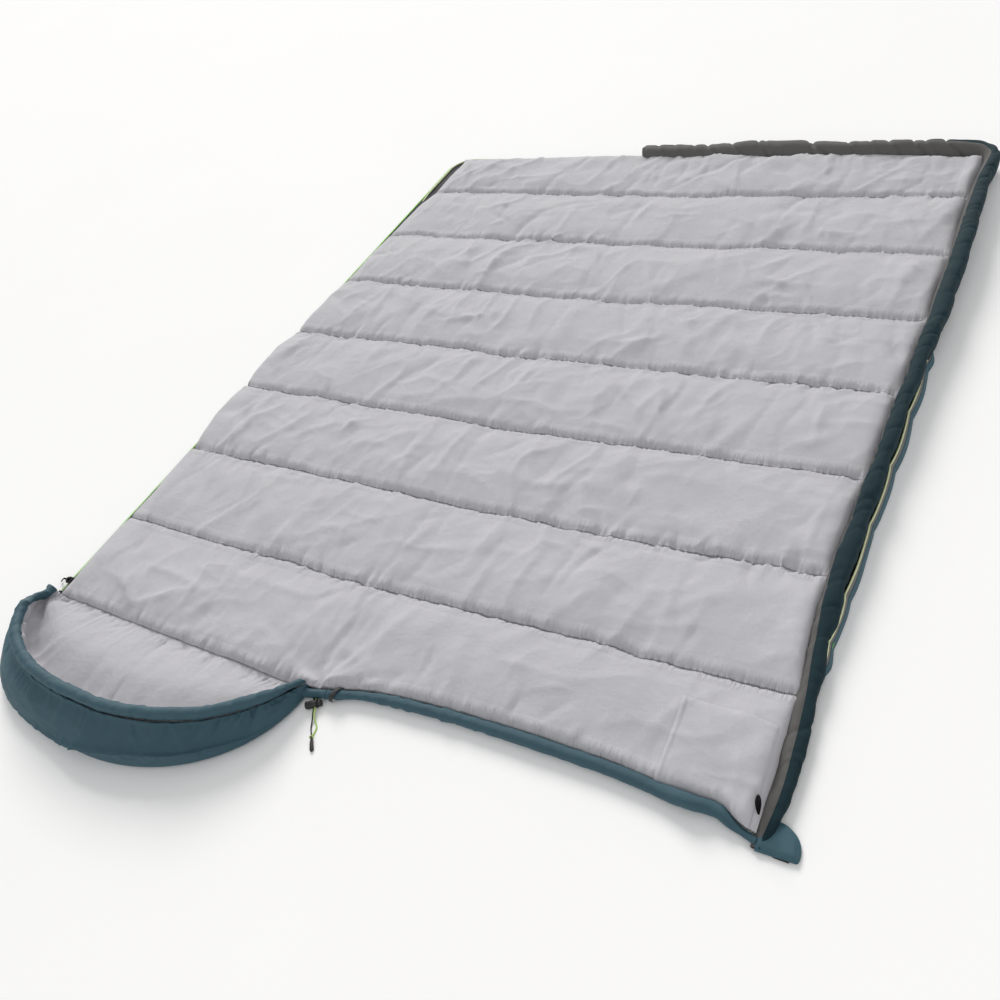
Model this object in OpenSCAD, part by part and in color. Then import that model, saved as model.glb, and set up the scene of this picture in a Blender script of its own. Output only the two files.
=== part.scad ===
// Rectangular quilted sleeping bag with an attached hood, unzipped and opened out flat.
// The fold lies along Y at x = 0. The foot is towards +Y, the hood towards -Y, the lining faces up.

/* [Quilt] */
// Width of each padded half, from the fold to its outer edge
half_width = 838; // [700:1:950]
// Distance between two rows of quilting
channel_pitch = 254; // [200:1:300]
// Depth of the short channel at the foot
foot_channel = 208; // [150:1:260]
// Thickness of the padding at the middle of a channel
crest_height = 36; // [30:1:38]
// Thickness of the padding at a row of quilting
seam_height = 22; // [14:1:26]
// Thickness of one layer of fabric
skin = 1.2; // [0.8:0.1:2]
// Radius of the outer corner at the foot
corner_radius = 60; // [45:1:120]

/* [Fold] */
// Height of the line that the cover half turns about
fold_height = 44; // [44:1:60]
// Gap between the two halves at the fold
fold_gap = 1; // [0.6:0.1:3]

/* [Hood] */
// How far the hood reaches beyond the shoulder seam
hood_length = 302; // [240:1:360]
// Distance from the fold to the near end of the hood
hood_start = 48; // [30:1:120]
// Height of the hood at the top of its rim channel
hood_height = 100; // [80:1:110]
// How far the hood wall leans inwards
hood_lean = 84; // [40:1:100]
// Diameter of the rim channel that holds the drawcord
rim_diameter = 22; // [16:1:28]

/* [Draft tube] */
// Width of the padded tube along the zip
tube_width = 36; // [24:1:44]
// Height of the padded tube
tube_height = 50; // [36:1:50]
// How far the tube reaches past the fold at the foot
tube_overlap = 139; // [60:1:145]

/* [Zip] */
// Width of the zip tape that shows
tape_width = 14; // [10:1:18]
// Diameter of the zip coil
coil_diameter = 5; // [4:0.5:6]
// Height of the zip above the ground
zip_height = 12.4; // [11:0.2:14]
// Distance of the zip's lower end from the fold, along the foot
zip_end = 150; // [146:1:240]
// Distance of the resting slider from the shoulder seam
slider_y = 40; // [36:1:100]
// Length of the pull from its pin to its tip
pull_length = 30; // [20:1:31]
// Width of the flat strip that lies outside the zip
strip_width = 26; // [20:1:36]

/* [Collar] */
// Width of the drawcord channel at the head of the cover half
collar_width = 24; // [18:1:30]
// Height of the drawcord channel
collar_height = 26; // [18:1:32]
// Distance of the channel from the shoulder seam
collar_y = 12; // [10:1:40]

/* [Pocket and flap] */
// Width of the pocket
pocket_width = 140; // [100:1:200]
// Depth of the pocket
pocket_depth = 134; // [100:1:200]
// Length of the closure flap past its sewn edge
flap_length = 48; // [30:1:60]
// Width of the closure flap
flap_width = 45; // [30:1:50]

/* [Drawcord] */
// Diameter of the drawcord
cord_diameter = 2.6; // [2:0.1:3]
// Diameter of the cord lock barrel
lock_diameter = 15; // [14:0.5:18]

/* [Hidden] */
$fn = 48;

teal = [0.13, 0.27, 0.32];
pale_grey = [0.74, 0.73, 0.75];
dark_grey = [0.38, 0.38, 0.39];
lime = [0.62, 0.86, 0.28];
cream = [0.94, 0.96, 0.78];
black = [0.07, 0.07, 0.08];
white = [0.95, 0.95, 0.93];

channel_count = 7;
bag_length = channel_pitch * channel_count + foot_channel;
half_gap = fold_gap / 2;
ply_gap = 0.1;
clearance = 0.3;
cover_y = collar_y + collar_width + clearance;
cover_width = half_width - tube_width - clearance;
cover_end = bag_length - tube_width - clearance;
coil_centre = tape_width + 1;
zip_reach = coil_centre + coil_diameter / 2;
tape_thickness = 0.8;

// Slider and pull, measured outwards from the fold
slider_x = half_width + coil_centre;
slider_half_gap = coil_diameter / 2 + 0.7;
plate = 1.6;
pin_x = slider_x + 5.5;
pin_z = zip_height + slider_half_gap + plate + 3;
pull_drop = 36;
strap_thickness = 1.6;

// Closure flap
flap_z = 3;
flap_thickness = 3;
flap_x = half_width + zip_reach + 0.5;

// The whole bag's extent, which puts the origin at the middle of its underside
left_reach = pin_x + pull_length * cos(pull_drop) + strap_thickness / 2 * sin(pull_drop);
right_reach = flap_x + clearance + flap_length;
middle_x = (right_reach - left_reach) / 2;
middle_y = (bag_length + strip_width - hood_length) / 2;

// Hood, seen from above: half an ellipse beyond the shoulder seam
hood_half = (half_width + coil_centre - hood_start) / 2;
hood_centre = -hood_start - hood_half;
hood_stations = 28;
rim_radius = rim_diameter / 2;
wall_top = hood_height - rim_diameter - clearance;
hood_floor = 30;
hood_ease = 2.6;

// Cord lock: the barrel's middle, its turn about Z, and its travel
lock_at = [-18, -27, 7.6];
lock_turn = 30;
lock_slot = [6.4, 3.4];
press = 3;
cord_offset = 1.5;

// Routes of the two cord strands, from the guide to the knot, in the lock's own directions
dark_route = [
    [-1.5, 13, 0], [-1.5, 5, 0], [-1.5, -5, 0], [-1.5, -15, 0], [-1.5, -22, 0], [-1.7, -27, -1],
    [-2.6, -33, -3.4], [-3.8, -39, -5.4], [-4.4, -45, -6.1], [-4.2, -51, -6.1], [-3.2, -57, -6.1],
    [-2.2, -62, -6.1], [-1.5, -66, -6]
];
lime_route = [
    [1.5, 13, 0], [1.5, 5, 0], [1.5, -5, 0], [1.5, -15, 0], [1.5, -22, 0], [1.6, -27, -1],
    [2.2, -33, -3.4], [4.2, -39, -5.4], [6.5, -45, -6.1], [7, -51, -6.1], [5.4, -57, -6.1],
    [3.2, -62, -6.1], [1.5, -66, -6]
];
knot_y = -70;

// ---- shared shapes ----

// Moves the bag so that the middle of its underside is the origin.
module in_row() {
    translate([-middle_x, -middle_y, 0]) children();
}

// Puts a shape drawn on the +X side on the base half.
module on_base() {
    mirror([1, 0, 0]) children();
}

// Height of the quilted surface between two rows of stitches at a and b.
function puff(y, a, b) = seam_height
    + (crest_height - seam_height) * pow(max(0, sin(180 * (y - a) / (b - a))), 0.7);

// The rows of stitches from one edge of a half to the other.
function rows(first, last) = concat([first], [for (i = [1:channel_count]) i * channel_pitch], [last]);

// Points of the quilted surface, from the head to the foot.
function crown(first, last, steps = 8) = let (r = rows(first, last)) concat(
    [for (i = [0:len(r) - 2], k = [0:steps - 1])
        let (y = r[i] + (r[i + 1] - r[i]) * k / steps) [y, puff(y, r[i], r[i + 1])]],
    [[last, puff(last, r[len(r) - 2], last)]]
);

function lifted(points, dz) = [for (p = points) [p[0], p[1] + dz]];
function reversed(points) = [for (i = [len(points) - 1:-1:0]) points[i]];

// Extrudes a (y, z) outline along X.
module along_x(x0, x1) {
    translate([x0, 0, 0]) rotate([90, 0, 90]) linear_extrude(x1 - x0) children();
}

// A quilted slab from the ground (or from bottom) up to the surface, lifted by top.
module slab(x0, x1, first, last, bottom, top) {
    s = lifted(crown(first, last), top);
    along_x(x0, x1) polygon(concat([[first, bottom]], s, [[last, bottom]]));
}

// A plan outline with its far outer corner rounded.
module plan(x0, x1, y0, y1, r, height = 200) {
    translate([0, 0, -height / 2]) linear_extrude(height) union() {
        translate([x0, y0]) square([x1 - x0 - r, y1 - y0]);
        translate([x0, y0]) square([x1 - x0, y1 - y0 - r]);
        translate([x1 - r, y1 - r]) circle(r);
    }
}

// The padded parts of one half, from the fold to its outer edge.
module quilt_shell(x1, first, last, r) {
    difference() {
        intersection() {
            slab(half_gap, x1, first, last, 0, -skin - ply_gap);
            plan(half_gap, x1, first, last, r);
        }
        translate([0, 0, 100 + skin]) plan(half_gap + skin, x1 - skin, first + skin, last - skin, r - skin);
    }
}

module quilt_filling(x1, first, last, r) {
    e = skin + ply_gap;
    intersection() {
        slab(half_gap, x1, first, last, e, -skin - ply_gap);
        plan(half_gap + e, x1 - e, first + e, last - e, r - e);
    }
}

module quilt_lining(x1, first, last, r) {
    s = crown(first, last);
    intersection() {
        along_x(half_gap, x1) polygon(concat(s, reversed(lifted(s, -skin))));
        plan(half_gap, x1, first, last, r);
    }
}

// Sweeps a profile round the side, the corner and the foot. The profile's x is measured
// inwards from the half's outer edge and its y is the height.
module edge_run(start_y, start_x) {
    xc = half_width - corner_radius;
    yc = bag_length - corner_radius;
    translate([xc, yc, 0]) {
        rotate([90, 0, 0]) linear_extrude(yc - start_y) edge_profile() children();
        rotate_extrude(angle = 90) edge_profile() children();
    }
    translate([start_x, yc, 0]) rotate([90, 0, 90]) linear_extrude(xc - start_x)
        edge_profile() children();
}

module edge_profile() {
    translate([corner_radius, 0]) mirror([1, 0]) children();
}

// A padded outline, flat-sided with round shoulders.
function pad_outline(width, height, inset = 0, steps = 24) = [
    for (i = [0:steps - 1])
        let (a = 360 * i / steps, c = cos(a), s = sin(a))
            [width / 2 + (width / 2 - inset) * sign(c) * pow(abs(c), 0.7),
             height / 2 + (height / 2 - inset) * sign(s) * pow(abs(s), 0.7)]
];

// Unit vector, and the ring of a round cord about a point that runs along a direction.
function unit(v) = v / norm(v);
function cord_ring(p, along, r, sides) =
    let (u = unit(cross(along, [0.31, 0.17, 0.93])), v = cross(along, u))
        [for (k = [0:sides - 1]) p + r * (cos(360 * k / sides) * u + sin(360 * k / sides) * v)];
function direction(path, i) =
    unit(path[min(i + 1, len(path) - 1)] - path[max(i - 1, 0)]);

// Joins rings of points, all with the same count, into one closed solid.
module skinned(rings) {
    n = len(rings[0]);
    m = len(rings);
    polyhedron(
        points = [for (ring = rings) each ring],
        faces = concat(
            [[for (k = [0:n - 1]) k]],
            [for (i = [0:m - 2], k = [0:n - 1]) [i * n + k, (i + 1) * n + k, i * n + (k + 1) % n]],
            [for (i = [0:m - 2], k = [0:n - 1])
                [i * n + (k + 1) % n, (i + 1) * n + k, (i + 1) * n + (k + 1) % n]],
            [[for (k = [n - 1:-1:0]) (m - 1) * n + k]]
        ),
        convexity = 8
    );
}

module tube_along(path, r, sides = 8) {
    skinned([for (i = [0:len(path) - 1]) cord_ring(path[i], direction(path, i), r, sides)]);
}

// ---- base half ----

module base_shell() color(teal) on_base() quilt_shell(half_width, half_gap, bag_length, corner_radius);

module base_filling() color(white) on_base() quilt_filling(half_width, half_gap, bag_length, corner_radius);

module base_lining() color(pale_grey) on_base() quilt_lining(half_width, half_gap, bag_length, corner_radius);

module tape_profile() {
    translate([-tape_width, zip_height - tape_thickness / 2]) square([tape_width - 0.1, tape_thickness]);
}

module coil_profile() {
    translate([-coil_centre, zip_height]) circle(d = coil_diameter);
}

// The tape is slit round the coil so that the two stay separate solids.
module zip_tape(start_y) {
    edge_run(start_y, zip_end) difference() {
        tape_profile();
        translate([-coil_centre, zip_height]) circle(d = coil_diameter + 0.2);
    }
}

module base_zip_tape() color(black) on_base() zip_tape(8);

module base_zip_coil() color(lime) on_base() edge_run(8, zip_end) coil_profile();

module piping(start_y, z) {
    edge_run(start_y, zip_end) translate([-2.2, z]) circle(d = 4);
}

module base_piping() color(cream) on_base() piping(44, 5);

module zip_top_stop() color(black) on_base()
    translate([slider_x - 3.5, 2, zip_height - 3.4]) cube([7, 5.8, 6.8]);

module zip_retainer_box() color(black) on_base()
    translate([zip_end - 10, bag_length + 6, zip_height - 4]) cube([9.8, zip_reach - 6, 8]);

module closure_loop() color(black) on_base()
    translate([half_width + 0.1, 10, 1]) cube([1.2, 26, 9.5]);

// The tapering end of the tube that lies past the fold, beyond the foot of the base half.
module draft_tube_end() color(dark_grey) on_base() {
    depth = zip_reach - 1.5;
    hull() {
        translate([half_gap, bag_length + 0.3, 0]) cube([1, depth, 34]);
        translate([tube_overlap / 2, bag_length + 0.3 + depth * 0.5, 17]) scale([1, 0.45, 1])
            rotate([0, 90, 0]) cylinder(r = 16, h = 1, $fn = 24);
        translate([tube_overlap - 1, bag_length + 3, 0]) cube([1, 4, 12]);
    }
}

// The black block that the two strands leave the rim through.
module cord_guide() color(black) {
    difference() {
        translate(lock_at) rotate([0, 0, lock_turn]) translate([-7, 12.5, -7]) cube([14, 9, 14]);
        in_lock() for (side = [-1, 1])
            translate([side * cord_offset, 30, 0]) rotate([90, 0, 0]) cylinder(d = cord_diameter + 0.6, h = 40);
        translate([-60, -half_gap, -10]) cube([80, 60, 60]);
    }
}

// ---- cover half ----

module cover_shell() color(teal)
    quilt_shell(cover_width, cover_y, cover_end, corner_radius - tube_width);

module cover_filling() color(white)
    quilt_filling(cover_width, cover_y, cover_end, corner_radius - tube_width);

module cover_lining() color(pale_grey)
    quilt_lining(cover_width, cover_y, cover_end, corner_radius - tube_width);

tube_start = cover_y + 10;

module draft_tube_filling() color(white)
    edge_run(tube_start, half_gap)
        polygon(pad_outline(tube_width, tube_height, skin + ply_gap));

module tube_skin() {
    difference() {
        polygon(pad_outline(tube_width, tube_height));
        polygon(pad_outline(tube_width, tube_height, skin));
    }
}

module draft_tube_inner() color(dark_grey)
    edge_run(tube_start, half_gap) intersection() {
        tube_skin();
        translate([tube_width / 2 + 0.1, 0]) square([tube_width, tube_height]);
    }

module draft_tube_outer() color(teal)
    edge_run(tube_start, half_gap) intersection() {
        tube_skin();
        translate([-1, 0]) square([tube_width / 2 + 1, tube_height]);
    }

module cover_zip_tape() color(black) zip_tape(flap_width + 6);

module cover_zip_coil() color(lime) edge_run(flap_width + 6, zip_end) coil_profile();

module cover_piping() color(cream) piping(flap_width + 6, 19);

// The flat strip outside the zip, lying on the ground.
module outer_zip_flap() color(teal)
    edge_run(flap_width + 6, zip_end) translate([-strip_width, 0.4]) square([strip_width, skin]);

module zip_insertion_pin() color(black)
    translate([zip_end - 12, bag_length + coil_centre - 1.5, zip_height - 1.5]) cube([11.8, 3, 3]);

// A teal channel with an open bore for the drawcord.
module collar_channel() color(teal)
    along_x(half_gap, half_width - 1) translate([collar_y, 0]) difference() {
        polygon(pad_outline(collar_width, collar_height));
        polygon(pad_outline(collar_width, collar_height, skin));
    }

module collar_drawcord() color(black)
    translate([half_gap, collar_y + collar_width / 2, collar_height / 2]) rotate([0, 90, 0])
        cylinder(d = cord_diameter, h = half_width - 2 * skin);

// A short piece of webbing that stands in front of the channel, beside the fold.
module collar_webbing() color(black)
    translate([22, collar_y - 1.8, 0.2]) cube([9, 1.5, collar_height - 4]);

// The pocket lies on the lining and follows its crown.
module pocket_patch() color(pale_grey) {
    y0 = cover_y + 12;
    r = rows(cover_y, cover_end);
    s = [for (k = [0:8]) let (y = y0 + pocket_depth * k / 8) [y, puff(y, r[0], r[1]) + 0.2]];
    along_x(cover_width - pocket_width, cover_width - 4)
        polygon(concat(s, reversed(lifted(s, skin))));
}

// A leaf-shaped tab sewn in at the head corner.
module corner_tab() color(black)
    translate([cover_width - 22, cover_y + 4, crest_height + 3]) rotate([0, 0, 25]) linear_extrude(2)
        intersection() {
            translate([0, -12]) circle(18);
            translate([0, 12]) circle(18);
        }

module closure_root() color(teal)
    translate([half_width + 0.3, 0, flap_z]) cube([flap_x - half_width - 0.3, flap_width, flap_thickness]);

module closure_flap() color(teal)
    translate([flap_x + clearance, 0, flap_z]) linear_extrude(flap_thickness) difference() {
        square([flap_length, flap_width]);
        translate([flap_length - 14, 0]) difference() {
            translate([0, -1]) square([15, 15]);
            translate([0, 14]) circle(14);
        }
        translate([flap_length - 14, flap_width - 14]) difference() {
            square([15, 15]);
            circle(14);
        }
    }

module closure_hook() color(black)
    translate([flap_x + 10, 6, flap_z - 1.3]) cube([24, 12, 1.2]);

// ---- hood ----

function hood_edge(a) = [hood_centre + hood_half * cos(a), -hood_length * sin(a)];
function hood_root(a) = [hood_centre + 0.8 * hood_half * cos(a), -half_gap];

// How much of the full wall stands at a station: it rises quickly by the zip and slowly by the fold.
function wall_share(a) = a > 90
    ? min(1, 0.08 + 1.7 * sin(a))
    : min(1, 0.04 + 0.96 * pow(sin(a), 0.8));
function rim_height(a) = seam_height + (wall_top - seam_height) * wall_share(a);

// A point of the hood's section: its distance from the root, and its height.
function hood_point(a, p) =
    let (root = hood_root(a), edge = hood_edge(a) - [0, half_gap], out = unit(edge - root))
        [root[0] + p[0] * out[0], min(-half_gap, root[1] + p[0] * out[1]), p[1]];
function hood_reach(a) = norm(hood_edge(a) - [0, half_gap] - hood_root(a));

// Outer face from the seam, under the floor and up the wall; d moves it inwards.
function outer_face(a, d) = let (n = hood_reach(a), w = wall_share(a), h = rim_height(a)) [
    [0, d], [n * 0.5, d], [n - 8 - 20 * w, d], [n - 3 - 5 * w - d * 0.7, 3 + d * 0.7],
    [n - d, h * 0.3], [n - 5 * w - d, h * 0.55], [n - 0.32 * hood_lean * w - d, h * 0.8],
    [n - 0.72 * hood_lean * w - d * 0.7, h - d]
];

// Inner face from the rim down the wall and back along the floor to the seam.
function inner_face(a, d) = let (n = hood_reach(a), w = wall_share(a), h = rim_height(a),
                                 f = seam_height + (hood_floor - seam_height) * w) [
    [n - hood_lean * w - 6 + d * 0.8, h - d - 2 * w],
    [n - 0.9 * hood_lean * w - 9 + d, f + (h - f) * 0.62],
    [n - 0.72 * hood_lean * w - 11 + d, f + (h - f) * 0.3],
    [n - 0.78 * hood_lean * w - 16 + d * 0.5, f - d],
    [n * 0.45, f - d], [0, seam_height - d]
];

module hood_solid(section) {
    skinned([for (i = [0:hood_stations])
        let (a = 4 + 172 * i / hood_stations) [for (p = section(a)) hood_point(a, p)]]);
}

module hood_shell() color(teal)
    hood_solid(function (a) concat(outer_face(a, 0), reversed(outer_face(a, skin))));

module hood_filling() color(white)
    hood_solid(function (a) concat(
        outer_face(a, skin + hood_ease), inner_face(a, skin + 2 * hood_ease)));

module hood_lining() color(pale_grey)
    hood_solid(function (a) concat(inner_face(a, 0), reversed(inner_face(a, skin))));

function rim_centre(a) = [hood_reach(a) - 0.86 * hood_lean * wall_share(a) - 3,
                          rim_height(a) + rim_radius + clearance];

module hood_rim_channel() color(teal)
    hood_solid(function (a) let (c = rim_centre(a)) concat(
        [for (k = [0:10]) c + rim_radius * [cos(280 + 34 * k), sin(280 + 34 * k)]],
        [for (k = [10:-1:0]) c + (rim_radius - skin) * [cos(280 + 34 * k), sin(280 + 34 * k)]]));

module hood_drawcord() color(black)
    hood_solid(function (a) let (c = rim_centre(a))
        [for (k = [0:7]) c + cord_diameter / 2 * [cos(45 * k), sin(45 * k)]]);

// ---- slider ----

module zip_slider() color([0.12, 0.12, 0.13]) on_base() translate([slider_x, slider_y, zip_height]) {
    for (side = [-1, 1])
        translate([-7, -9, side * (slider_half_gap + plate / 2) - plate / 2]) cube([14, 18, plate]);
    translate([coil_diameter / 2 + 0.9, -4, -slider_half_gap - 0.1])
        cube([3.4, 8, 2 * slider_half_gap + 0.2]);
    translate([pin_x - slider_x, 0, pin_z - zip_height]) {
        rotate([90, 0, 0]) cylinder(r = 1.1, h = 12, center = true);
        for (side = [-1, 1])
            translate([-1.1, side * 5.5 - 1, -3.1]) cube([2.2, 2, 3.4]);
    }
}

module at_pull() {
    on_base() translate([pin_x, slider_y, pin_z]) rotate([0, pull_drop, 0]) children();
}

module zip_pull() color([0.2, 0.2, 0.21]) at_pull() difference() {
    union() {
        rotate([90, 0, 0]) cylinder(r = 2.4, h = 6, center = true);
        translate([0, -3, -strap_thickness / 2]) cube([8, 6, strap_thickness]);
    }
    rotate([90, 0, 0]) cylinder(r = 1.18, h = 8, center = true);
}

module zip_pull_strap() color(black) at_pull()
    translate([8.1, -4, -strap_thickness / 2]) cube([pull_length - 8.1, 8, strap_thickness]);

// ---- cord and cord lock ----

module in_lock() {
    translate(lock_at) rotate([0, 0, lock_turn]) children();
}

module cord_strand_dark() color(black) in_lock() tube_along(dark_route, cord_diameter / 2);

module cord_strand_lime() color(lime) in_lock() tube_along(lime_route, cord_diameter / 2);

module cord_knot() color(lime) in_lock() translate([0, knot_y, -3.4]) sphere(r = 4);

module cord_end_tab() color(black) in_lock()
    translate([0, knot_y - 4.1, -7.2]) rotate([0, 0, 8]) linear_extrude(4)
        polygon([[-2.2, 0], [-3.8, -10], [-3.8, -24], [-2.8, -26], [2.8, -26], [3.8, -24], [3.8, -10], [2.2, 0]]);

// The oblong hole that both strands pass through, centred at x.
module strand_slot(x0, x1) {
    r = lock_slot[1] / 2;
    for (x = [x0 + r, x1 - r])
        translate([x, 0, 0]) rotate([90, 0, 0]) cylinder(r = r, h = 30, center = true);
    translate([x0 + r, -15, -r]) cube([x1 - x0 - 2 * r, 30, 2 * r]);
}

module cord_lock_body() color(black) in_lock() difference() {
    translate([-18, 0, 0]) rotate([0, 90, 0]) cylinder(d = lock_diameter, h = 24);
    translate([-16.5, 0, 0]) rotate([0, 90, 0]) cylinder(d = 10, h = 30);
    strand_slot(-lock_slot[0] / 2, lock_slot[0] / 2);
}

module cord_lock_plunger() color([0.16, 0.16, 0.17]) in_lock() difference() {
    union() {
        translate([-7.5, 0, 0]) rotate([0, 90, 0]) cylinder(d = 9.6, h = 18.5);
        translate([10, 0, 0]) rotate([0, 90, 0]) cylinder(d = 13, h = 4);
    }
    strand_slot(-lock_slot[0] / 2 - 0.4, lock_slot[0] / 2 + press + 0.4);
}

spring_turns = 4;
module cord_lock_spring() color([0.7, 0.7, 0.72]) in_lock()
    tube_along([for (i = [0:12 * spring_turns])
        [-15.9 + 7.7 * i / (12 * spring_turns), 3.6 * cos(30 * i), 3.6 * sin(30 * i)]], 0.35);

// ---- the assembly ----

in_row() base_shell();
in_row() base_filling();
in_row() base_lining();
in_row() base_zip_tape();
in_row() base_zip_coil();
in_row() base_piping();
in_row() zip_top_stop();
in_row() zip_retainer_box();
in_row() closure_loop();
in_row() draft_tube_end();
in_row() cord_guide();
in_row() cover_shell();
in_row() cover_filling();
in_row() cover_lining();
in_row() draft_tube_filling();
in_row() draft_tube_inner();
in_row() draft_tube_outer();
in_row() cover_zip_tape();
in_row() cover_zip_coil();
in_row() cover_piping();
in_row() outer_zip_flap();
in_row() zip_insertion_pin();
in_row() collar_channel();
in_row() collar_drawcord();
in_row() collar_webbing();
in_row() pocket_patch();
in_row() corner_tab();
in_row() closure_root();
in_row() closure_flap();
in_row() closure_hook();
in_row() hood_shell();
in_row() hood_filling();
in_row() hood_lining();
in_row() hood_rim_channel();
in_row() hood_drawcord();
in_row() zip_slider();
in_row() zip_pull();
in_row() zip_pull_strap();
in_row() cord_strand_dark();
in_row() cord_strand_lime();
in_row() cord_knot();
in_row() cord_end_tab();
in_row() cord_lock_body();
in_row() cord_lock_plunger();
in_row() cord_lock_spring();
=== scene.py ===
import math

import bpy
import numpy as np
from mathutils import Matrix, Vector


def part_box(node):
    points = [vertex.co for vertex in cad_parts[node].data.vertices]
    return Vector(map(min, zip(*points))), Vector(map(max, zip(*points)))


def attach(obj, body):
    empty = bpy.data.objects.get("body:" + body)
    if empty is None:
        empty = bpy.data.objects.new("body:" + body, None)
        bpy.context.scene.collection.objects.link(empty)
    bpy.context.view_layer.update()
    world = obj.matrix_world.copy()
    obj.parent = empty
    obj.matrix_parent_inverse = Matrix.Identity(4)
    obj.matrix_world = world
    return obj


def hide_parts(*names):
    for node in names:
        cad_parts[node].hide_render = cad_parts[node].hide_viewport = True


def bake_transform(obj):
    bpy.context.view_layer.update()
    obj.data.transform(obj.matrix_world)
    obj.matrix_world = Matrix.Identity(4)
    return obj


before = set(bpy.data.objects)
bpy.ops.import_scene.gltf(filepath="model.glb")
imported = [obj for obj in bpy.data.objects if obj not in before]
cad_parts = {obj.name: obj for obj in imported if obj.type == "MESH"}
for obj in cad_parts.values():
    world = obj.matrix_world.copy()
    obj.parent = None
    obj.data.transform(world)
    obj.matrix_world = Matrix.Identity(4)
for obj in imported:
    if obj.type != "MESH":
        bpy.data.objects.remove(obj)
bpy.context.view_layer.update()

# The bag's own frame, used by every piece below: x = 0 at the fold, y = 0 at the shoulder seam,
# +y towards the foot, metres. ORIGIN is that point in the row frame.
HALF_GAP = 0.0005
base_low, base_high = (np.array(corner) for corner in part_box("base_shell"))
ORIGIN = np.array([base_high[0] + HALF_GAP, base_low[1] - HALF_GAP, 0.0])
HALF_WIDTH = ORIGIN[0] - base_low[0]
BAG_LENGTH = base_high[1] - ORIGIN[1]
PITCH = 0.254               # between two rows of quilting
CHANNELS = 7                # whole channels; a shorter one ends at the foot
CREST, SEAM = 0.036, 0.022  # height of the padding between rows and at a row
CORNER = 0.060              # radius of the edge at the foot corners
COIL = 0.015                # the zip's coil, outside the half's own edge
ZIP_HEIGHT = 0.0124
ZIP_END = 0.150             # where the zip stops on the foot, from the fold
FLAP_WIDTH = 0.045


# ---- camera ----

CAMERA_AT = Vector((1.095, -1.382, 1.425))
CAMERA_AIM = Vector((0.103, -0.321, 0.036))
CAMERA_ROLL = math.radians(-21)
FOCAL_LENGTH, SENSOR_WIDTH = 33.25, 36


def make_camera():
    data = bpy.data.cameras.new("camera")
    data.lens = FOCAL_LENGTH
    data.sensor_width = SENSOR_WIDTH
    camera = bpy.data.objects.new("camera", data)
    turn = (CAMERA_AIM - CAMERA_AT).to_track_quat("-Z", "Y").to_matrix()
    roll = Matrix.Rotation(CAMERA_ROLL, 3, "Z")
    camera.matrix_world = Matrix.Translation(CAMERA_AT) @ (turn @ roll).to_4x4()
    bpy.context.collection.objects.link(camera)
    bpy.context.scene.camera = camera


make_camera()


# ---- numbers ----

def ease(low, high, value):
    """0 below low, 1 above high, smooth between."""
    t = np.clip((value - low) / (high - low), 0, 1)
    return t * t * (3 - 2 * t)


def noise(x, y, seed, cells=64):
    """Smooth noise between -1 and 1, about one bump per unit."""
    table = np.random.RandomState(seed).uniform(-1, 1, (cells, cells))
    x, y = np.broadcast_arrays(np.asarray(x, float), np.asarray(y, float))
    i, j = np.floor(x).astype(int), np.floor(y).astype(int)
    u, v = x - i, y - j
    u, v = u * u * (3 - 2 * u), v * v * (3 - 2 * v)
    near = table[i % cells, j % cells] * (1 - u) + table[(i + 1) % cells, j % cells] * u
    far = table[i % cells, (j + 1) % cells] * (1 - u) + table[(i + 1) % cells, (j + 1) % cells] * u
    return near * (1 - v) + far * v


def through(knots, values, t):
    """A smooth curve through values at knots; values may be points (..., 3) stacked on axis 0."""
    knots, values, t = np.asarray(knots, float), np.asarray(values, float), np.asarray(t, float)
    slopes = np.gradient(values, knots, axis=0)
    i = np.clip(np.searchsorted(knots, t, side="right") - 1, 0, len(knots) - 2)
    width = knots[i + 1] - knots[i]
    f = (t - knots[i]) / width
    shape = t.shape + (1,) * (values.ndim - 1)
    f, width = f.reshape(shape), width.reshape(shape)
    a, b, sa, sb = values[i], values[i + 1], slopes[i] * width, slopes[i + 1] * width
    return ((2 * f ** 3 - 3 * f ** 2 + 1) * a + (f ** 3 - 2 * f ** 2 + f) * sa
            + (3 * f ** 2 - 2 * f ** 3) * b + (f ** 3 - f ** 2) * sb)


def turns(count):
    """Angles spaced evenly round a full turn."""
    return np.linspace(0, 2 * math.pi, count, endpoint=False)


def unit(v):
    return v / np.maximum(np.linalg.norm(v, axis=-1, keepdims=True), 1e-9)


def normals(grid):
    """Unit normals of a grid of points (rows, columns, 3)."""
    return unit(np.cross(np.gradient(grid, axis=1), np.gradient(grid, axis=0)))


# ---- meshes ----

def make_piece(name, points, faces, material, cloth):
    """A smooth mesh piece from points in the bag's frame; cloth holds its flat coordinates."""
    mesh = bpy.data.meshes.new(name)
    points = np.asarray(points, float).reshape(-1, 3) + ORIGIN
    mesh.from_pydata(points.tolist(), [], faces if isinstance(faces, list) else faces.tolist())
    mesh.polygons.foreach_set("use_smooth", [True] * len(mesh.polygons))
    attribute = mesh.attributes.new("cloth", "FLOAT_VECTOR", "POINT")
    attribute.data.foreach_set("vector", np.asarray(cloth, float).reshape(-1))
    mesh.materials.append(material)
    mesh.update()
    piece = bpy.data.objects.new(name, mesh)
    bpy.context.collection.objects.link(piece)
    return piece


def grid_faces(rows, columns, wrap=False, flip=False):
    """Quads of a grid; wrap joins the last column to the first."""
    across = columns if wrap else columns - 1
    j, i = np.meshgrid(np.arange(rows - 1), np.arange(across), indexing="ij")
    right = (i + 1) % columns
    quads = np.stack([j * columns + i, j * columns + right, (j + 1) * columns + right,
                      (j + 1) * columns + i], -1).reshape(-1, 4)
    return quads[:, ::-1] if flip else quads


def grid_piece(name, grid, material, cloth, flip=False):
    return make_piece(name, grid, grid_faces(*grid.shape[:2], flip=flip), material, cloth)


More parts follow.
